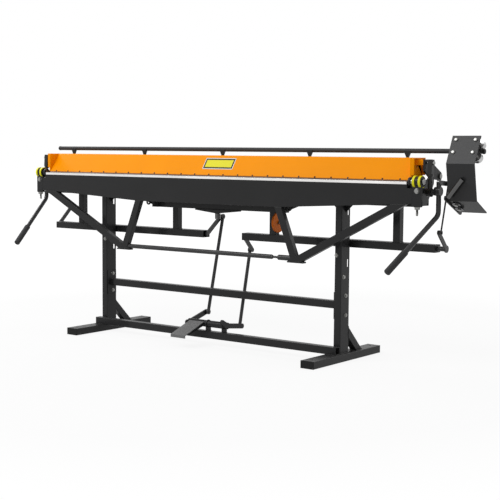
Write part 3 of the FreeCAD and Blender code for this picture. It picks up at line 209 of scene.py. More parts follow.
def node_group(name, inputs, outputs):
    """An empty shader group, with the sockets that feed it and those that it fills."""
    tree = bpy.data.node_groups.new(name, "ShaderNodeTree")
    for label, kind, value in inputs:
        tree.interface.new_socket(label, in_out="INPUT", socket_type=kind).default_value = value
    for label, kind in outputs:
        tree.interface.new_socket(label, in_out="OUTPUT", socket_type=kind)
    return tree, tree.nodes.new("NodeGroupInput").outputs, tree.nodes.new("NodeGroupOutput").inputs


def noise(tree, place, scale, detail, roughness=0.5):
    made = step(tree, "ShaderNodeTexNoise", {"Vector": place, "Scale": scale, "Detail": detail,
                                             "Roughness": roughness})
    return made.outputs["Fac"]


def laid_over(tree, mask, under, over):
    """One colour with another on it where the mask says so."""
    return step(tree, "ShaderNodeMix", {0: mask, 6: under, 7: over}, data_type="RGBA").outputs[2]


MOTTLE_SCALE = 5.0
MOTTLE_ON_COLOUR = 3.0
GRAIN_ON_GLOSS = 0.12


def grain_group():
    """Slow mottling of colour and gloss, and a fine grain for the bump."""
    tree, given, out = node_group(
        "surface_grain",
        [("Colour", "NodeSocketColor", MID_GREY), ("Mottle", "NodeSocketFloat", 0.1),
         ("Grain", "NodeSocketFloat", 800), ("Stretch", "NodeSocketVector", (1, 1, 1)),
         ("Roughness", "NodeSocketFloat", 0.4)],
        [("Colour", "NodeSocketColor"), ("Height", "NodeSocketFloat"), ("Roughness", "NodeSocketFloat")])
    place = own_place(tree)
    shade = maths(tree, "SUBTRACT", noise(tree, place, MOTTLE_SCALE, detail=4.0), 0.5)
    shade = maths(tree, "MULTIPLY", shade, given["Mottle"])
    tint = maths(tree, "MULTIPLY_ADD", shade, MOTTLE_ON_COLOUR, 1.0)
    colour = step(tree, "ShaderNodeVectorMath", {0: given["Colour"], "Scale": tint}, operation="SCALE")
    drawn = step(tree, "ShaderNodeVectorMath", {0: place, 1: given["Stretch"]}, operation="MULTIPLY")
    fine = noise(tree, drawn.outputs[0], given["Grain"], detail=2.0)
    smear = maths(tree, "MULTIPLY_ADD", fine, GRAIN_ON_GLOSS, -GRAIN_ON_GLOSS / 2)
    rough = maths(tree, "ADD", given["Roughness"], smear)
    rough = maths(tree, "ADD", rough, shade, use_clamp=True)
    tree.links.new(colour.outputs[0], out["Colour"])
    tree.links.new(fine, out["Height"])
    tree.links.new(rough, out["Roughness"])
    return tree


CHIP_SCALE = 45.0
CHIP_START = 0.75
CHIP_FULL = 0.8


def wear_group():
    """Bare metal in patches along the rounded edges, which carry the attribute edge."""
    tree, given, out = node_group(
        "edge_wear",
        [("Colour", "NodeSocketColor", MID_GREY), ("Bare", "NodeSocketColor", BARE_STEEL),
         ("Amount", "NodeSocketFloat", 0.3)],
        [("Colour", "NodeSocketColor"), ("Mask", "NodeSocketFloat")])
    edge = step(tree, "ShaderNodeAttribute", attribute_name="edge", attribute_type="GEOMETRY")
    patch = noise(tree, own_place(tree), CHIP_SCALE, detail=5.0, roughness=0.7)
    start = maths(tree, "SUBTRACT", CHIP_START, given["Amount"])
    mask = maths(tree, "MULTIPLY", ranged(tree, patch, start, CHIP_FULL), edge.outputs["Fac"])
    tree.links.new(laid_over(tree, mask, given["Colour"], given["Bare"]), out["Colour"])
    tree.links.new(mask, out["Mask"])
    return tree


DRIFT_SCALE = 14.0
DRIFT_START = 0.3
DRIFT_FULL = 0.75
TOP_FACING_FROM = 0.55


def dust_and_top_light_group():
    """Thin dust in drifts on the faces that look up; the lighter tone there is also painted light on the
    tops.
    """
    tree, given, out = node_group(
        "settled_dust_and_top_light",
        [("Colour", "NodeSocketColor", MID_GREY), ("Dust And Top Light", "NodeSocketColor", DUST_AND_TOP_LIGHT_COLOUR),
         ("Amount", "NodeSocketFloat", 0.3)],
        [("Colour", "NodeSocketColor"), ("Mask", "NodeSocketFloat")])
    # Faces that look up grow lighter: dust, and painted light on the tops as well.
    normal = step(tree, "ShaderNodeNewGeometry").outputs["Normal"]
    facing = step(tree, "ShaderNodeSeparateXYZ", {0: normal}).outputs["Z"]
    drift = noise(tree, own_place(tree), DRIFT_SCALE, detail=6.0, roughness=0.65)
    mask = maths(tree, "MULTIPLY", ranged(tree, facing, TOP_FACING_FROM, 1.0),
                 ranged(tree, drift, DRIFT_START, DRIFT_FULL))
    mask = maths(tree, "MULTIPLY", mask, given["Amount"])
    tree.links.new(laid_over(tree, mask, given["Colour"], given["Dust And Top Light"]), out["Colour"])
    tree.links.new(mask, out["Mask"])
    return tree


GRAIN = grain_group()
WEAR = wear_group()
DUST_AND_TOP_LIGHT = dust_and_top_light_group()
DUST_ON_GLOSS = 0.4
GRAIN_HEIGHT = 0.0006
COAT_ROUGHNESS = 0.15


def finish(name, colour, roughness, metallic=0.0, mottle=0.12, grain=700.0, stretch=(1, 1, 1),
           bump=0.12, wear=0.12, top_dust_and_light=0.10, shine=0.13, coat=0.0):
    """A procedural material: grain, worn edges, and dust with painted light on the tops, in front of one
    Principled shader.
    """
    made = bpy.data.materials.new(name)
    made.use_nodes = True
    tree = made.node_tree
    shader = tree.nodes["Principled BSDF"]
    base = step(tree, "ShaderNodeGroup", {"Colour": colour, "Mottle": mottle, "Grain": grain,
                                          "Stretch": stretch, "Roughness": roughness}, node_tree=GRAIN)
    worn = step(tree, "ShaderNodeGroup", {"Colour": base.outputs["Colour"], "Amount": wear},
                node_tree=WEAR)
    dust_and_light_laid = step(tree, "ShaderNodeGroup", {"Colour": worn.outputs["Colour"], "Amount": top_dust_and_light},
                 node_tree=DUST_AND_TOP_LIGHT)
    rough = maths(tree, "MULTIPLY_ADD", dust_and_light_laid.outputs["Mask"], DUST_ON_GLOSS,
                  base.outputs["Roughness"], use_clamp=True)
    relief = step(tree, "ShaderNodeBump", {"Strength": bump, "Distance": GRAIN_HEIGHT,
                                           "Height": base.outputs["Height"]})
    tree.links.new(dust_and_light_laid.outputs["Colour"], shader.inputs["Base Color"])
    tree.links.new(rough, shader.inputs["Roughness"])
    tree.links.new(relief.outputs["Normal"], shader.inputs["Normal"])
    if metallic:
        shader.inputs["Metallic"].default_value = metallic
    else:
        tree.links.new(worn.outputs["Mask"], shader.inputs["Metallic"])
    shader.inputs["Specular IOR Level"].default_value = shine
    shader.inputs["Coat Weight"].default_value = coat
    shader.inputs["Coat Roughness"].default_value = COAT_ROUGHNESS
    return made


SHARP_ANGLE = 60


def piece(name, bm, material, body, slot, *stands_for):
    """Sets a finished mesh on its body, smooth but for its sharp edges."""
    mesh = bpy.data.meshes.new(name)
    bm.to_mesh(mesh)
    bm.free()
    mesh.shade_smooth()
    mesh.set_sharp_from_angle(angle=math.radians(SHARP_ANGLE))
    mesh.materials.append(material)
    obj = bpy.data.objects.new(name, mesh)
    bpy.context.scene.collection.objects.link(obj)
    obj.modifiers.new("even_faces", "WEIGHTED_NORMAL").keep_sharp = True
    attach(obj, body)
    if stands_for:
        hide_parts(*stands_for)
    return obj


JOIN_DISTANCE = 0.00001
FLAT_ANGLE = 0.3


def merged(node):
    """A welded copy of a CAD node's mesh with its flat faces made whole."""
    bm = bmesh.new()
    bm.from_mesh(frame["nodes"][node].data)
    bmesh.ops.remove_doubles(bm, verts=bm.verts, dist=JOIN_DISTANCE)
    bmesh.ops.dissolve_limit(bm, angle_limit=math.radians(FLAT_ANGLE), verts=bm.verts, edges=bm.edges)
    return bm


def corners(bm, least, test=None):
    """Edges that turn by at least so many degrees; test takes an edge's middle and direction, in mm."""
    found = []
    for edge in bm.edges:
        if len(edge.link_faces) != 2 or edge.calc_face_angle(0) < math.radians(least):
            continue
        start = edge.verts[0].co / MM
        end = edge.verts[1].co / MM
        if test is None or test((start + end) / 2, end - start):
            found.append(edge)
    return found


def bevelled(bm, edges, radius, steps):
    """The faces of a round along the edges."""
    return bmesh.ops.bevel(bm, geom=edges, offset=radius * MM, segments=steps, profile=0.5,
                           affect="EDGES", clamp_overlap=True)["faces"]


FOLD_ANGLE = 20
FOLD_STEPS = 5
CORNER_ANGLE = 34
CORNER_STEPS = 2


def softened(bm, width, folds=()):
    """Rounds a mesh: its folds first, each a radius and a test, then every sharp edge a little."""
    edge_mark = bm.faces.layers.float.new("edge")
    for radius, test in folds:
        bevelled(bm, corners(bm, FOLD_ANGLE, test), radius, FOLD_STEPS)
    for face in bevelled(bm, corners(bm, CORNER_ANGLE), width, CORNER_STEPS):
        face[edge_mark] = 1.0
    return bm


EDGE_WIDTH = 1.2
SLOTS = {part["node"]: part["material_slot"] for part in frame["record"]["subparts"]}


def rounded(node, material, width=EDGE_WIDTH, folds=()):
    """A CAD node again with its corners rounded, in its place."""
    return piece(f"{node}_rounded", softened(merged(node), width, folds), material,
                 frame["nodes"][node]["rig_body"], SLOTS[node], node)


TUBE_FOLD = 2.8
LONG_EDGE = 300


def along_y(middle, way):
    return abs(way.y) > LONG_EDGE


charcoal_coat = finish("charcoal_coat", CHARCOAL, roughness=0.42, shine=0.10, coat=0.16)
rounded("feet", charcoal_coat, folds=[(TUBE_FOLD, along_y)])

# Foot caps: moulded plugs of black plastic, pressed into the two open ends of each foot to close them
# and to cover their sawn edges.
cap_plastic = finish("cap_plastic", (0.012, 0.012, 0.012, 1), roughness=0.5, grain=1500, wear=0)
rounded("foot_end_caps", cap_plastic)

# Posts: sheet folded to a channel with its web to the front, slotted near the open back, welded on the
# feet, with a square tube brace behind and a plate with two small gussets on top.
POST_WIDTH = 40
TUBE_SIDE = 40
POST_FOLD = 5
BRACE_FOLD = 2.5


def reach(node):
    """A CAD node's lowest and highest corners at rest, in mm to a tenth."""
    return [[round(c / MM, 1) for c in corner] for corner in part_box(node)]


def web_corner(middle, way):
    return abs(way.z) > LONG_EDGE and middle.y < POST_FRONT + 1


def along_brace(middle, way):
    return abs(way.y) > TUBE_SIDE and abs(way.z) > TUBE_SIDE


(_, POST_FRONT, FOOT_TOP), (POST_OUTER, POST_BACK, HEAD_LOW) = reach("posts")
POST_INNER = POST_OUTER - POST_WIDTH
rounded("posts", charcoal_coat, width=1.0, folds=[(POST_FOLD, web_corner)])
rounded("post_braces", charcoal_coat, folds=[(BRACE_FOLD, along_brace)])
rounded("post_head_plates", charcoal_coat)


def geometry_tree(name, *inputs):
    """An empty Geometry Nodes tree with named inputs, each a label and a kind, and a material."""
    tree = bpy.data.node_groups.new(name, "GeometryNodeTree")
    tree.interface.new_socket("Geometry", in_out="OUTPUT", socket_type="NodeSocketGeometry")
    for label, kind in (("Geometry", "Geometry"), *inputs, ("Material", "Material")):
        tree.interface.new_socket(label, in_out="INPUT", socket_type=f"NodeSocket{kind}")
    return tree, tree.nodes.new("NodeGroupInput").outputs


def ended(tree, given, geometry):
    """Ends a tree: its instances are made real and get the material."""
    whole = step(tree, "GeometryNodeRealizeInstances", {0: geometry})
    done = step(tree, "GeometryNodeSetMaterial", {"Geometry": whole.outputs[0],
                                                  "Material": given["Material"]})
    tree.links.new(done.outputs[0], tree.nodes.new("NodeGroupOutput").inputs[0])
    return tree


STEPS_PER_PITCH = 4.0


def ripple_tree():
    """A round bead along a curve whose thickness swells and shrinks once per pitch."""
    tree, given = geometry_tree("rippled_bead", ("Radius", "Float"), ("Pitch", "Float"),
                                ("Depth", "Float"), ("Sides", "Int"))
    gap = maths(tree, "DIVIDE", given["Pitch"], STEPS_PER_PITCH)
    line = step(tree, "GeometryNodeResampleCurve", {"Curve": given["Geometry"], "Length": gap},
                mode="LENGTH")
    far = step(tree, "GeometryNodeSplineParameter").outputs["Length"]
    turns = maths(tree, "DIVIDE", far, given["Pitch"])
    wave = maths(tree, "COSINE", maths(tree, "MULTIPLY", turns, math.tau))
    swell = maths(tree, "MULTIPLY_ADD", wave, given["Depth"], 1.0)
    size = maths(tree, "MULTIPLY", swell, given["Radius"])
    ring = step(tree, "GeometryNodeCurvePrimitiveCircle", {"Resolution": given["Sides"], "Radius": 1.0})
    bead = step(tree, "GeometryNodeCurveToMesh", {
        "Curve": line.outputs[0], "Profile Curve": ring.outputs[0], "Scale": size, "Fill Caps": True})
    return ended(tree, given, bead.outputs[0])


RIPPLE = ripple_tree()


def grown(source, tree, **values):
    """The plain mesh that a geometry tree makes of a curve or a mesh."""
    bpy.context.scene.collection.objects.link(source)
    modifier = source.modifiers.new("grow", "NODES")
    modifier.node_group = tree
    for socket in tree.interface.items_tree:
        if socket.in_out == "INPUT" and socket.name in values:
            modifier[socket.identifier] = values[socket.name]
    graph = bpy.context.evaluated_depsgraph_get()
    bm = bmesh.new()
    bm.from_mesh(bpy.data.meshes.new_from_object(source.evaluated_get(graph)))
    bpy.data.objects.remove(source)
    bmesh.ops.recalc_face_normals(bm, faces=bm.faces)
    return bm


def lines(runs):
    """A curve object with one straight-sided spline for each run of points, in mm."""
    curve = bpy.data.curves.new("runs", "CURVE")
    curve.dimensions = "3D"
    for run in runs:
        spline = curve.splines.new("POLY")
        spline.points.add(len(run) - 1)
        for point, (x, y, z) in zip(spline.points, run):
            point.co = (x * MM, y * MM, z * MM, 1)
    return bpy.data.objects.new("runs", curve)


def both_ends(runs):
    """The runs of the right end, and the same again at the left end."""
    return list(runs) + [[(-x, y, z) for x, y, z in run] for run in runs]


def loop(x0, x1, y0, y1, z):
    """A run once round a tube that stands on end."""
    return [(x0, y0, z), (x1, y0, z), (x1, y1, z), (x0, y1, z), (x0, y0, z)]


BEAD_RADIUS = 2.6
BEAD_PITCH = 4
BEAD_SWELL = 0.12
BEAD_SIDES = 8


def weld(name, body, runs, radius=BEAD_RADIUS):
    """Rippled weld beads along the runs, painted over."""
    bm = grown(lines(runs), RIPPLE, Radius=radius * MM, Pitch=BEAD_PITCH * MM, Depth=BEAD_SWELL,
               Sides=BEAD_SIDES, Material=charcoal_coat)
    piece(name, bm, charcoal_coat, body, "charcoal_paint")


FOOT_WIDTH = 80
BRACE_ON_FOOT = 56
BRACE_ON_POST = 57
FOOT_INNER = reach("feet")[1][0] - FOOT_WIDTH
BRACE_BACK, BRACE_TOP = reach("post_braces")[1][1:]
(_, LOW_RAIL_FRONT, _), (LOW_RAIL_TIP, MID_RAIL_BACK, MID_RAIL_TOP) = reach("cross_rails")
LOW_RAIL_BACK = LOW_RAIL_FRONT + TUBE_SIDE
weld("stand_welds", "frame", both_ends([
    loop(POST_INNER, POST_OUTER, POST_FRONT, POST_BACK, FOOT_TOP),
    [(POST_INNER, BRACE_BACK, FOOT_TOP), (POST_OUTER, BRACE_BACK, FOOT_TOP),
     (POST_OUTER, BRACE_BACK - BRACE_ON_FOOT, FOOT_TOP)],
    [(POST_OUTER, POST_BACK, BRACE_TOP - BRACE_ON_POST), (POST_OUTER, POST_BACK, BRACE_TOP),
     (POST_INNER, POST_BACK, BRACE_TOP)],
    [(POST_INNER, POST_FRONT, HEAD_LOW), (POST_OUTER, POST_FRONT, HEAD_LOW),
     (POST_OUTER, POST_BACK, HEAD_LOW)],
    [(POST_INNER, POST_FRONT, HEAD_LOW), (POST_INNER, POST_BACK, HEAD_LOW)],
    [(LOW_RAIL_TIP, LOW_RAIL_FRONT, FOOT_TOP), (LOW_RAIL_TIP, LOW_RAIL_BACK, FOOT_TOP),
     (FOOT_INNER, LOW_RAIL_BACK, FOOT_TOP)],
    [(LOW_RAIL_TIP, LOW_RAIL_FRONT, FOOT_TOP), (FOOT_INNER, LOW_RAIL_FRONT, FOOT_TOP)]]))

# Cross rails: two square tubes, one welded down on the feet and one bolted between the posts through
# a flat flange that is welded on at each end.
FLANGE_THICK = 6
FLANGE_FACE = reach("rail_flanges")[1][0] - FLANGE_THICK
MID_RAIL_FRONT = MID_RAIL_BACK - TUBE_SIDE
MID_RAIL_LOW = MID_RAIL_TOP - TUBE_SIDE


def along_x(middle, way):
    return abs(way.x) > LONG_EDGE


rounded("cross_rails", charcoal_coat, folds=[(TUBE_FOLD, along_x)])
rounded("rail_flanges", charcoal_coat)
weld("cross_rail_welds", "frame", both_ends([[
    (FLANGE_FACE, MID_RAIL_FRONT, MID_RAIL_LOW), (FLANGE_FACE, MID_RAIL_FRONT, MID_RAIL_TOP),
    (FLANGE_FACE, MID_RAIL_BACK, MID_RAIL_TOP), (FLANGE_FACE, MID_RAIL_BACK, MID_RAIL_LOW),
    (FLANGE_FACE, MID_RAIL_FRONT, MID_RAIL_LOW)]]))

# Frame bolts: zinc plated, each a hexagon on a washer with a short end that stands out of it. Two go
# through each post into the flange, one sits higher in the post's side and one in its web.
OUTWARD = (1, 0, 0)
INWARD = (-1, 0, 0)
FORWARD = (0, -1, 0)


def bare_metal(name, colour, roughness, mottle, grain, bump=0.05, top_dust_and_light=0.0, stretch=(1, 1, 1)):
    """A metal without paint, so without worn edges."""
    return finish(name, colour, roughness, metallic=1.0, mottle=mottle, grain=grain, stretch=stretch,
                  bump=bump, wear=0, top_dust_and_light=top_dust_and_light)


# The zinc's grey is darker than bright plating: a painted reflection of dark surroundings, with the
# lamp's highlight left to the render.
zinc = bare_metal("zinc_plating_painted_dark_reflection", (0.26, 0.26, 0.25, 1), roughness=0.26, mottle=0.35, grain=350)
WASHER_WIDTH = 1.18
WASHER_RIM = 0.96
WASHER_TOP = 0.16
CHAMFER_START = 0.90
CHAMFER_WIDTH = 0.86
SHANK_TAPER = 0.9
WASHER_SIDES = 28
SHANK_SIDES = 20
HEXAGON = 6


def bolt_tree():
    """A chamfered hexagon head on a washer at each point, turned to the point's own direction."""
    tree, given = geometry_tree("hexagon_heads", ("Head Radius", "Float"), ("Head Height", "Float"),
                                ("Shank Radius", "Float"), ("Shank Reach", "Float"))

    def scaled(socket, factor):
        return maths(tree, "MULTIPLY", socket, factor)

    def drum(sides, radius, depth, at, top=1.0):
        cone = step(tree, "GeometryNodeMeshCone", {"Vertices": sides, "Radius Top": scaled(radius, top),
                                                   "Radius Bottom": radius, "Depth": depth})
        up = step(tree, "ShaderNodeCombineXYZ", {"Z": at})
        return step(tree, "GeometryNodeTransform", {0: cone.outputs[0], "Translation": up.outputs[0]})

    head = given["Head Radius"]
    high = given["Head Height"]
    parts = [
        drum(WASHER_SIDES, scaled(head, WASHER_WIDTH), scaled(high, WASHER_TOP), 0.0, WASHER_RIM),
        drum(HEXAGON, head, scaled(high, CHAMFER_START - WASHER_TOP), scaled(high, WASHER_TOP)),
        drum(HEXAGON, head, scaled(high, 1 - CHAMFER_START), scaled(high, CHAMFER_START), CHAMFER_WIDTH),
        drum(SHANK_SIDES, given["Shank Radius"], given["Shank Reach"], high, SHANK_TAPER)]
    join = step(tree, "GeometryNodeJoinGeometry")
    for part in parts:
        tree.links.new(part.outputs[0], join.inputs[0])
    aim = step(tree, "GeometryNodeInputNamedAttribute", {"Name": "aim"}, data_type="FLOAT_VECTOR")
    way = step(tree, "FunctionNodeAlignRotationToVector", {"Vector": aim.outputs[0]}, axis="Z")
    put = step(tree, "GeometryNodeInstanceOnPoints", {
        "Points": given["Geometry"], "Instance": join.outputs[0], "Rotation": way.outputs[0]})
    return ended(tree, given, put.outputs[0])


HEADS = bolt_tree()


def heads(spots, material, radius, height, shank=0.0, shank_reach=0.01):
    """Bolt heads at (place, direction) spots, in mm."""
    mesh = bpy.data.meshes.new("spots")
    mesh.from_pydata([[c * MM for c in place] for place, way in spots], [], [])
    aim = mesh.attributes.new("aim", "FLOAT_VECTOR", "POINT")
    for item, (place, way) in zip(aim.data, spots):
        item.vector = way
    values = {"Head Radius": radius * MM, "Head Height": height * MM, "Shank Radius": shank * MM,
              "Shank Reach": shank_reach * MM, "Material": material}
    return grown(bpy.data.objects.new("spots", mesh), HEADS, **values)


def with_other_end(spots):
    """The spots of the right end, and the same again at the left end."""
    return spots + [((-x, y, z), (-a, b, c)) for (x, y, z), (a, b, c) in spots]


FLANGE_BOLT_Y = -3
FLANGE_BOLTS_Z = (239, 341)
SIDE_BOLT = (POST_OUTER, -25, 440)
WEB_BOLT = (POST_INNER + 11, POST_FRONT, 553)
bolt_spots = [((POST_OUTER, FLANGE_BOLT_Y, z), OUTWARD) for z in FLANGE_BOLTS_Z]
bolt_spots += [(SIDE_BOLT, OUTWARD)]
bolt_spots += [((FLANGE_FACE, FLANGE_BOLT_Y, z), INWARD) for z in FLANGE_BOLTS_Z]
bolt_spots += [(WEB_BOLT, FORWARD)]
bolts = heads(with_other_end(bolt_spots), zinc, radius=9.5, height=6.4, shank=5, shank_reach=2.5)
piece("frame_bolt_heads", bolts, zinc, "frame", "zinc_hardware", "frame_bolts")

# Bed: a long hollow beam with the table plate on it, closed at each end by a plate that carries the
# pivots of the folding beam, the handles and the clamping beam.
BEAM_FOLD = 6
table_coat = finish("table_coat", (0.04, 0.04, 0.041, 1), roughness=0.36, wear=0.25)
rounded("bed_beam", charcoal_coat, width=1.5, folds=[(BEAM_FOLD, along_x)])
rounded("bed_table", table_coat, width=1.0)
rounded("side_plates", charcoal_coat)
rounded("bearings", charcoal_coat, width=1.8)
pivot_pins = rounded("pivot_pins", zinc, width=0.8)
PIVOT_Y = 110
PIVOT_Z = 968
PIN_RADIUS = 8
PIN_EASE = 0.25
PIN_NEAR = 0.1


def eased(pins):
    """Thins the clamp pivot pins a little, so that the facets of the arms' bores clear them."""
    for vert in pins.data.vertices:
        across = Vector((0, vert.co.y - PIVOT_Y * MM, vert.co.z - PIVOT_Z * MM))
        if abs(across.length / MM - PIN_RADIUS) < PIN_NEAR:
            vert.co -= across.normalized() * PIN_EASE * MM


eased(pivot_pins)

# Camber adjuster: a deep bar under the bed with a block at each end, pushed up in the middle by a strap
# and a bolt. Two forged eyes hang from the bed on either side of it.
rounded("camber_bar", charcoal_coat)
dark_zinc = bare_metal("dark_zinc", (0.10, 0.10, 0.10, 1), roughness=0.4, mottle=0.3, grain=350,
                       top_dust_and_light=0.10)
rounded("camber_bolt", dark_zinc, width=0.8)
rounded("eye_bolts", charcoal_coat, width=0.8)
THREAD_PITCH = 1.75
THREAD_DEPTH = 0.07
THREAD_SIDES = 24


def threads(name, body, slot, material, runs, radius):
    """The crests of a thread along each run."""
    bm = grown(lines(runs), RIPPLE, Radius=radius * MM, Pitch=THREAD_PITCH * MM, Depth=THREAD_DEPTH,
               Sides=THREAD_SIDES, Material=material)
    piece(name, bm, material, body, slot)


CAMBER_BOLT_RADIUS = 8
CAMBER_THREAD_LONG = 4
THREAD_GAP = 0.5
camber_thread_low = reach("camber_bolt")[0][2] + THREAD_GAP
threads("camber_bolt_thread", "frame", "zinc_hardware", dark_zinc,
        [[(0, 0, camber_thread_low), (0, 0, camber_thread_low + CAMBER_THREAD_LONG)]],
        CAMBER_BOLT_RADIUS)

# Shaft rails: hollow guards with the torsion shafts inside, hung from the bed on square hangers, and the
# two plates on the lower cross rail that carry the pedal.
HANGERS_X = (350, 1125)
HANGER_EDGE = 100
BRACKETS_X = (-4, 110)
BRACKET_THICK = 8
BRACKET_BEAD = 2.0


def along_hanger(middle, way):
    return abs(way.z) > HANGER_EDGE


rounded("shaft_rails", charcoal_coat, folds=[(TUBE_FOLD, along_x)])
rounded("rail_hangers", charcoal_coat, folds=[(TUBE_FOLD, along_hanger)])
rounded("pedal_brackets", charcoal_coat, width=1.0)
(_, HANGER_FRONT, HANGER_LOW), (_, HANGER_BACK, HANGER_TOP) = reach("rail_hangers")
weld("hanger_welds", "frame", both_ends([
    loop(x - TUBE_SIDE / 2, x + TUBE_SIDE / 2, HANGER_FRONT, HANGER_BACK, z)
    for x in HANGERS_X for z in (HANGER_LOW, HANGER_TOP)]))
weld("bracket_welds", "frame", [
    loop(x, x + BRACKET_THICK, LOW_RAIL_FRONT, LOW_RAIL_BACK, FOOT_TOP + TUBE_SIDE)
    for x in BRACKETS_X], radius=BRACKET_BEAD)

# Folding beam: a long pan of folded plate, deepest in the middle and painted like the stand, with a
# ground steel strip along its top edge that meets the sheet.
rounded("fold_beam", charcoal_coat, width=1.6)
bright = bare_metal("ground_bright_steel", (0.78, 0.77, 0.76, 1), roughness=0.28, mottle=0.15,
                    grain=500, bump=0.08, stretch=(0.02, 1, 1))
rounded("fold_edge_strip", bright, width=0.4)

# Truss: square tubes welded from the beam's lower edge to a foot plate each side, held apart by a round
# tie bar with a threaded socket at its right end.
TRUSS_HALF = 14
TRUSS_BEAD = 2.2
BEAD_PROUD = 0.5
INNER_TUBE_X = (478, 522)
OUTER_TUBE_TOP = ((1178, 829.4), (1268, 834.2))
FOOT_PLATE_X = (584, 654)
SOCKET_X = (454, 500)
TIE_THREAD_RADIUS = 6
TIE_NUT_HEIGHT = 8
rounded("fold_truss", charcoal_coat, width=1.6)
# Round parts get a greyer copy of the stand's charcoal: its lighter base is painted sheen along the
# tubes, with more gloss as well.
tube_coat_painted_sheen = finish("tube_coat_painted_sheen", (0.036, 0.036, 0.037, 1), roughness=0.36, shine=0.15, coat=0.2)
rounded("truss_tie", tube_coat_painted_sheen, width=0.6)
tie_low, tie_high = reach("truss_tie")
TRUSS_Y = (tie_low[1] + tie_high[1]) / 2
TIE_Z = (tie_low[2] + tie_high[2]) / 2
BEAM_LOW = reach("fold_beam")[0][2]
BEAD_Y = reach("fold_beam")[0][1] - BEAD_PROUD
weld("truss_welds", "folding_beam", both_ends([
    [(x, BEAD_Y, BEAM_LOW) for x in INNER_TUBE_X],
    [(x, BEAD_Y, z) for x, z in OUTER_TUBE_TOP],
    [(x, TRUSS_Y - TRUSS_HALF, tie_low[2]) for x in FOOT_PLATE_X],
    [(x, TRUSS_Y + TRUSS_HALF, tie_low[2]) for x in FOOT_PLATE_X]]), radius=TRUSS_BEAD)
threads("tie_thread", "folding_beam", "zinc_hardware", dark_zinc,
        [[(SOCKET_X[0] + TIE_NUT_HEIGHT + 1, TRUSS_Y, TIE_Z),
          (SOCKET_X[1] - TIE_NUT_HEIGHT - 1, TRUSS_Y, TIE_Z)]], TIE_THREAD_RADIUS)

# Beam ends: a block and hub that turn on the fold pin, wrapped by two yellow plastic bands, with the
# adjusting stud and its nut below and a large hexagon screw in front, all zinc plated.
DOWNWARD = (0, 0, -1)
STUD_X = 1325
STUD_Y = -109
STUD_RADIUS = 6
STUD_CORE = 5.6
STUD_REACH = 30.5
END_NUT_HEIGHT = 13
END_SCREW = (STUD_X, -116, 900)
yellow_plastic = finish("yellow_band_plastic", (0.82, 0.78, 0.02, 1), roughness=0.35, grain=1200,
                        mottle=0.08, wear=0, top_dust_and_light=0)
rounded("fold_end_blocks", charcoal_coat, width=1.6)
rounded("drum_bands", yellow_plastic, width=0.8)
BLOCK_LOW = reach("fold_end_blocks")[0][2]
NUT_LOW = BLOCK_LOW - END_NUT_HEIGHT
screw_heads = heads(with_other_end([(END_SCREW, FORWARD)]), zinc, radius=12, height=8)
piece("end_screws", screw_heads, zinc, "folding_beam", "zinc_hardware")
end_nuts = heads(with_other_end([((STUD_X, STUD_Y, BLOCK_LOW), DOWNWARD)]), zinc,
                 radius=15, height=END_NUT_HEIGHT, shank=STUD_CORE, shank_reach=STUD_REACH)
piece("end_nuts", end_nuts, zinc, "folding_beam", "zinc_hardware", "fold_hardware")
threads("end_stud_threads", "folding_beam", "zinc_hardware", zinc, both_ends([
    [(STUD_X, STUD_Y, NUT_LOW - THREAD_GAP), (STUD_X, STUD_Y, NUT_LOW - STUD_REACH)]]), STUD_RADIUS)

# Tie nuts: two hexagon nuts of dark zinc plated steel, locked against the two sides of the threaded
# socket in the truss's tie bar.
tie_spots = [((x, TRUSS_Y, TIE_Z), way) for x, way in zip(SOCKET_X, (OUTWARD, INWARD))]
tie_nuts = heads(tie_spots, dark_zinc, radius=10, height=TIE_NUT_HEIGHT)
piece("tie_nuts", tie_nuts, dark_zinc, "folding_beam", "zinc_hardware")

# Clamping beam: an orange sheet folded over the top, a back, a tool steel nose and a dished plate with a
# welded lug at each end. Small dark screws stand in a row where the face meets the nose.
ORANGE = (0.95, 0.312, 0.0, 1)
TOP_FOLD = 8
TOP_FOLD_DEPTH = 20
TOP_FOLD_BACK = 20
BACK_FOLD = 6
FACE_UP = Vector((0, 0.5617, 0.8273))
FACE_OUT = Vector((0, -0.8273, 0.5617))
(_, FACE_FOOT_Y, FACE_FOOT_Z), (_, _, FACE_TOP) = reach("clamp_front")
orange_coat = finish("orange_coat", ORANGE, roughness=0.34, mottle=0.04, grain=600, bump=0.07,
                     wear=0.05, top_dust_and_light=0, shine=0.06)
# The nose's brown tint is painted: painted shade under the beam and a painted reflection of the orange
# face above it.
nose_steel_painted_shade = bare_metal("nose_steel_painted_shade", (0.13, 0.085, 0.06, 1), roughness=0.36, mottle=0.2,
                        grain=500, bump=0.08, stretch=(0.03, 1, 1))
black_oxide = bare_metal("black_oxide", (0.05, 0.045, 0.045, 1), roughness=0.4, mottle=0.12, grain=600,
                         top_dust_and_light=0.10)


def face_fold(middle, way):
    return along_x(middle, way) and middle.z > FACE_TOP - TOP_FOLD_DEPTH and middle.y < TOP_FOLD_BACK


rounded("clamp_front", orange_coat, folds=[(TOP_FOLD, face_fold)])
rounded("clamp_back", orange_coat, folds=[(BACK_FOLD, along_x)])
rounded("clamp_blade", nose_steel_painted_shade, width=0.5)
rounded("clamp_end_frames", orange_coat)


def row_tree():
    """Copies of a mesh in a row along X."""
    tree, given = geometry_tree("row_along_x", ("Count", "Int"), ("Pitch", "Float"))
    gap = step(tree, "ShaderNodeCombineXYZ", {"X": given["Pitch"]})
    line = step(tree, "GeometryNodeMeshLine", {"Count": given["Count"], "Start Location": (0, 0, 0),
                                               "Offset": gap.outputs[0]})
    put = step(tree, "GeometryNodeInstanceOnPoints", {"Points": line.outputs[0],
                                                      "Instance": given["Geometry"]})
    return ended(tree, given, put.outputs[0])


ROW = row_tree()


def row(bm, count, pitch, material):
    """A mesh and its copies along X, pitch in mm."""
    mesh = bpy.data.meshes.new("one")
    bm.to_mesh(mesh)
    bm.free()
    return grown(bpy.data.objects.new("one", mesh), ROW, Count=count, Pitch=pitch * MM, Material=material)


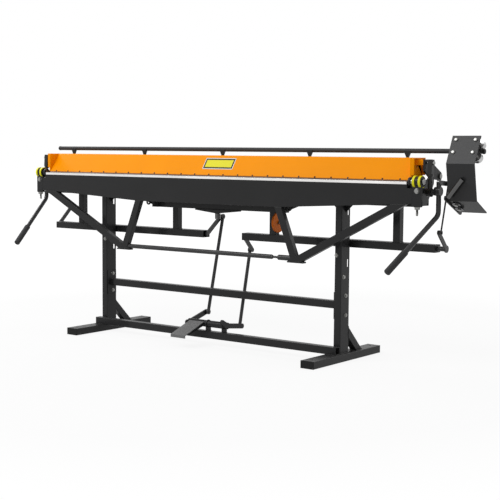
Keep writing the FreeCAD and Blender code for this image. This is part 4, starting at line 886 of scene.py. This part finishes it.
def turned(bm, start, end, profile, sides=48):
    """A turned form on the line from start to end: profile is (distance along, radius) pairs, in mm."""
    axis = (Vector(end) - Vector(start)).normalized()
    side = axis.orthogonal().normalized()
    up = axis.cross(side)
    rings = []
    for far, radius in profile:
        middle = Vector(start) + axis * far
        if radius == 0:
            rings.append([bm.verts.new(middle * MM)])
        else:
            rings.append([bm.verts.new((middle + (side * math.cos(a) + up * math.sin(a)) * radius) * MM)
                          for a in (math.tau * k / sides for k in range(sides))])
    for lower, upper in zip(rings, rings[1:]):
        for k in range(sides):
            n = (k + 1) % sides
            quad = [lower[k % len(lower)], lower[n % len(lower)],
                    upper[n % len(upper)], upper[k % len(upper)]]
            bm.faces.new(list(dict.fromkeys(quad)))
    bmesh.ops.recalc_face_normals(bm, faces=bm.faces)
    return bm


SCREW_PITCH = 101
SCREW_COUNT = 25
SCREW_RISE = 4.4
SCREW_RADIUS = 4.2
SOCKET_RADIUS = 2.4
SMALL_SIDES = 16
first_x = -SCREW_PITCH * (SCREW_COUNT - 1) / 2
first = Vector((first_x, FACE_FOOT_Y, FACE_FOOT_Z)) + FACE_UP * SCREW_RISE
screw = turned(bmesh.new(), first, first + FACE_OUT, [
    (-1, 0), (-1, SCREW_RADIUS), (1.6, SCREW_RADIUS), (2.6, SCREW_RADIUS - 0.8), (2.6, SOCKET_RADIUS),
    (0.8, SOCKET_RADIUS), (0.8, 0)], sides=SMALL_SIDES)
piece("face_screws", row(screw, SCREW_COUNT, SCREW_PITCH, black_oxide), black_oxide, "clamping_beam",
      "zinc_hardware")

# Clamp arms: flat black plates that reach from the lift links over the side plates to the rear pivots,
# each joined to its link by a zinc plated pin.
rounded("clamp_arms", charcoal_coat, width=1.4)
rounded("clamp_arm_pins", zinc, width=0.8)

# Plate on the sloped face: thin sheet in white enamel with a dark border round a yellow field, held by
# four small rivets.
PLATE_HEIGHT = 73
PLATE_RISE = 40
BORDER_INSET = 4.0
BORDER_LAYER = (0.9, 1.12)
FIELD_INSET = 13
FIELD_LAYER = (1.0, 1.24)
RIVET_INSET = 2.9
PLATE_LEFT = reach("label_plate")[0][0]
PLATE_WIDTH = reach("label_plate")[1][0] - PLATE_LEFT
plate_foot = Vector((PLATE_LEFT, FACE_FOOT_Y, FACE_FOOT_Z)) + FACE_UP * PLATE_RISE
white_enamel = finish("white_enamel", (0.84, 0.84, 0.82, 1), roughness=0.3, mottle=0.04, wear=0, top_dust_and_light=0)
border_ink = finish("border_ink", (0.02, 0.02, 0.02, 1), roughness=0.35, mottle=0.05, wear=0, top_dust_and_light=0)
yellow_enamel = finish("yellow_enamel", (0.80, 0.74, 0.03, 1), roughness=0.3, mottle=0.06, wear=0, top_dust_and_light=0)
rounded("label_plate", white_enamel, width=0.3)


def layer(inset, heights):
    """A thin sheet parallel to the sloped face, between two heights above it."""
    low, high = heights
    bm = bmesh.new()
    bmesh.ops.create_cube(bm, size=1)
    for vert in bm.verts:
        x = PLATE_WIDTH / 2 + vert.co.x * (PLATE_WIDTH - 2 * inset)
        y = PLATE_HEIGHT / 2 + vert.co.y * (PLATE_HEIGHT - 2 * inset)
        z = (low + high) / 2 + vert.co.z * (high - low)
        vert.co = (plate_foot + Vector((x, 0, 0)) + FACE_UP * y + FACE_OUT * z) * MM
    return bm


piece("label_border", layer(BORDER_INSET, BORDER_LAYER), border_ink, "clamping_beam", "yellow_plate")
piece("label_field", layer(FIELD_INSET, FIELD_LAYER), yellow_enamel, "clamping_beam", "yellow_plate")
rivets = bmesh.new()
for x in (RIVET_INSET, PLATE_WIDTH - RIVET_INSET):
    for y in (RIVET_INSET, PLATE_HEIGHT - RIVET_INSET):
        spot = plate_foot + Vector((x, 0, 0)) + FACE_UP * y
        turned(rivets, spot, spot + FACE_OUT, [(0.6, 0), (0.6, 1.6), (1.3, 1.5), (1.7, 0.9), (1.8, 0)],
               sides=SMALL_SIDES)
piece("label_rivets", rivets, zinc, "clamping_beam", "zinc_hardware")

# Knife rail: a round steel bar on five tapered brackets behind the clamping beam, painted, with a
# moulded plastic cap at each end.
END_CHAMFER = 1
CAP_RADIUS = 13
CAP_LONG = 10
# The bar's base is greyer than the stand's charcoal: painted sheen along the round bar.
rail_coat_painted_sheen = finish("rail_coat_painted_sheen", (0.04, 0.04, 0.041, 1), roughness=0.4, mottle=0.2, grain=500,
                   stretch=(0.05, 1, 1), bump=0.05, top_dust_and_light=0)
(RAIL_LEFT, rail_front, rail_low), (RAIL_RIGHT, rail_back, rail_high) = reach("knife_rail")
RAIL_Y = (rail_front + rail_back) / 2
RAIL_Z = (rail_low + rail_high) / 2
RAIL_RADIUS = (rail_high - rail_low) / 2
RAIL_LONG = RAIL_RIGHT - RAIL_LEFT
bar = turned(bmesh.new(), (RAIL_LEFT, RAIL_Y, RAIL_Z), (RAIL_RIGHT, RAIL_Y, RAIL_Z), [
    (0, 0), (0, RAIL_RADIUS - END_CHAMFER), (END_CHAMFER, RAIL_RADIUS),
    (RAIL_LONG - END_CHAMFER, RAIL_RADIUS), (RAIL_LONG, RAIL_RADIUS - END_CHAMFER), (RAIL_LONG, 0)],
             sides=64)
piece("knife_rail_bar", bar, rail_coat_painted_sheen, "clamping_beam", "charcoal_paint", "knife_rail")
ends = bmesh.new()
for x, way in ((RAIL_LEFT, -1), (RAIL_RIGHT, 1)):
    turned(ends, (x, RAIL_Y, RAIL_Z), (x + way, RAIL_Y, RAIL_Z), [
        (0, 0), (0, CAP_RADIUS), (CAP_LONG - 3, CAP_RADIUS), (CAP_LONG - 1, CAP_RADIUS - 1),
        (CAP_LONG, CAP_RADIUS - 3.5), (CAP_LONG, 0)])
piece("rail_end_caps", ends, cap_plastic, "clamping_beam", "black_plastic", "rail_caps")
rounded("rail_brackets", charcoal_coat)

# Handles: a short crankshaft in each bearing with a bent tube on its outer end and a ribbed rubber grip
# on the last stretch. The tube drops from the hub, bends and runs forwards and inwards to its tip.
HANDLE_X = 1385
HUB_Y = -5
HUB_Z = 897
TUBE_DROP = 97.2
TUBE_BEND = 40
TIP_FORWARD = 328
TIP_INWARD = 90
TIP_FALL = 377
TUBE_RADIUS = 12.5
GRIP_LONG = 150
GRIP_RADIUS = 17
GRIP_BORE = TUBE_RADIUS + 0.05
RIB_COUNT = 18
RIB_START = 14
RIB_PITCH = 7
RIB_FLOOR = GRIP_RADIUS - 1.3
rounded("handle_right", tube_coat_painted_sheen, width=0.8)
rounded("handle_left", tube_coat_painted_sheen, width=0.8)
run = math.hypot(TIP_FORWARD, TIP_INWARD)
from_bend = Vector((run - TUBE_BEND, TUBE_DROP - TIP_FALL))
straight = math.sqrt(from_bend.length_squared - TUBE_BEND ** 2)
slope = (from_bend * straight + Vector((-from_bend.y, from_bend.x)) * TUBE_BEND).normalized()
grip_rubber = finish("grip_rubber", (0.042, 0.042, 0.043, 1), roughness=0.5, grain=900, bump=0.2,
                     wear=0, top_dust_and_light=0.2)


def grip_profile():
    """A closed sleeve: its rounded end past the tip, the ribs, its mouth and its bore."""
    profile = [(-4, 0), (-4, 13.5), (-2.5, 15.6), (0, GRIP_RADIUS), (10, GRIP_RADIUS)]
    for k in range(RIB_COUNT):
        start = RIB_START + k * RIB_PITCH
        profile += [(start, GRIP_RADIUS), (start + 1.2, RIB_FLOOR), (start + 2.8, RIB_FLOOR),
                    (start + 4, GRIP_RADIUS)]
    return profile + [(142, GRIP_RADIUS), (148, GRIP_RADIUS), (149.5, 16.2), (GRIP_LONG, GRIP_BORE),
                      (20, GRIP_BORE), (20, 0)]


for side, name in ((1, "right"), (-1, "left")):
    way = Vector((-TIP_INWARD / run * slope.x * side, -TIP_FORWARD / run * slope.x, slope.y))
    tip = Vector(((HANDLE_X - TIP_INWARD) * side, HUB_Y - TIP_FORWARD, HUB_Z - TIP_FALL))
    sleeve = turned(bmesh.new(), tip, tip - way, grip_profile(), sides=40)
    piece(f"grip_{name}_sleeve", sleeve, grip_rubber, f"handle_{name}", "grip_rubber", f"grip_{name}")

# Linkage: a screw link lifts each end of the clamping beam, thin rods join the handles to the torsion
# shafts, and long rods join the shafts to the pedal. All are painted steel on plain pins.
link_coat = finish("link_coat", (0.018, 0.018, 0.018, 1), roughness=0.3, mottle=0.2, shine=0.25)
for node in ("lift_link_right", "lift_link_left"):
    rounded(node, link_coat, width=1.0)
for node in ("torsion_shaft_right", "torsion_shaft_left", "thin_rod_right", "thin_rod_left",
             "long_rod_right", "long_rod_left"):
    rounded(node, tube_coat_painted_sheen, width=0.8)

# Pedal: a cross tube that turns in its two brackets, with a lever at each end and a tread of bent sheet,
# worn grey by shoes.
rounded("pedal_frame", charcoal_coat, width=0.8)
tread_coat = finish("tread_coat", (0.19, 0.19, 0.19, 1), roughness=0.45, mottle=0.5, grain=120, bump=0.25,
                    wear=0.3, top_dust_and_light=0.3)
rounded("pedal_plate", tread_coat, width=0.8)

# Knife carriage: a sheet bent twice that rides the rail on four grooved steel rollers, with a pair of
# cutting discs on its lower flange and a dark round strut in front. Its screws are zinc plated.
LEAF_LEAN_Y = 0.902
LEAF_LEAN_Z = -0.431
LEAF_FACE = -489.5
STRUT_FRONT = -20
STRUT_LOW = 860
STRUT_HIGH = 990
carriage_coat = finish("carriage_coat", (0.025, 0.025, 0.026, 1), roughness=0.40, mottle=0.15, grain=500,
                       bump=0.1, coat=0.15)
# The strut is a lighter grey metal than the dark carriage around it: this grey is painted sheen along the
# tube.
strut_steel_painted_sheen = bare_metal("strut_steel_painted_sheen", (0.11, 0.11, 0.11, 1), roughness=0.25, mottle=0.2, grain=400)
roller_steel = bare_metal("turned_roller_steel", (0.50, 0.50, 0.50, 1), roughness=0.3, mottle=0.15,
                          grain=300, top_dust_and_light=0.1)
cutter_steel = bare_metal("cutter_steel", (0.09, 0.09, 0.095, 1), roughness=0.22, mottle=0.2, grain=400)
rounded("knife_plate", carriage_coat, width=1.0)


def before_leaf(middle, way):
    """True for edges in front of the sheet's upper leaf, which leans back."""
    return LEAF_LEAN_Y * middle.y + LEAF_LEAN_Z * middle.z < LEAF_FACE


def in_strut(middle):
    return middle.y < STRUT_FRONT and STRUT_LOW < middle.z < STRUT_HIGH


def not_in_strut(middle):
    return not in_strut(middle)


def thinned(bm, keep):
    """Leaves only the solids of a mesh whose middle, in mm, passes the test."""
    left = set(bm.verts)
    while left:
        solid = set()
        waiting = [left.pop()]
        while waiting:
            vert = waiting.pop()
            solid.add(vert)
            nearby = [edge.other_vert(vert) for edge in vert.link_edges]
            waiting += [other for other in nearby if other not in solid and other in left]
            left -= set(waiting)
        low = Vector([min(vert.co[k] for vert in solid) for k in range(3)])
        high = Vector([max(vert.co[k] for vert in solid) for k in range(3)])
        if not keep((low + high) / 2 / MM):
            bmesh.ops.delete(bm, geom=list(solid), context="VERTS")


def knife_hardware(tag, keep, material, width, folds=()):
    """Those solids of the knife's hardware that pass the test, rounded."""
    bm = merged("knife_hardware")
    thinned(bm, keep)
    piece(f"knife_hardware_{tag}", softened(bm, width, folds), material, "knife_carriage",
          SLOTS["knife_hardware"], "knife_hardware")


SCREW_DOME = 4.5
knife_hardware("screws", not_in_strut, zinc, width=0.6, folds=[(SCREW_DOME, before_leaf)])
knife_hardware("strut", in_strut, strut_steel_painted_sheen, width=0.8)
for node in ("roller_upper_left", "roller_upper_right", "roller_lower_left", "roller_lower_right"):
    rounded(node, roller_steel, width=0.6)
for node in ("cutter_upper", "cutter_lower"):
    rounded(node, cutter_steel, width=0.5)

# Locking disc: a round of flat steel plate, painted orange, that turns on a stud beside the inner right
# hanger.
disc_coat = finish("disc_coat", (0.62, 0.13, 0.0, 1), roughness=0.35, mottle=0.15, wear=0.15, top_dust_and_light=0.2)
rounded("locking_disc", disc_coat, width=1.5)
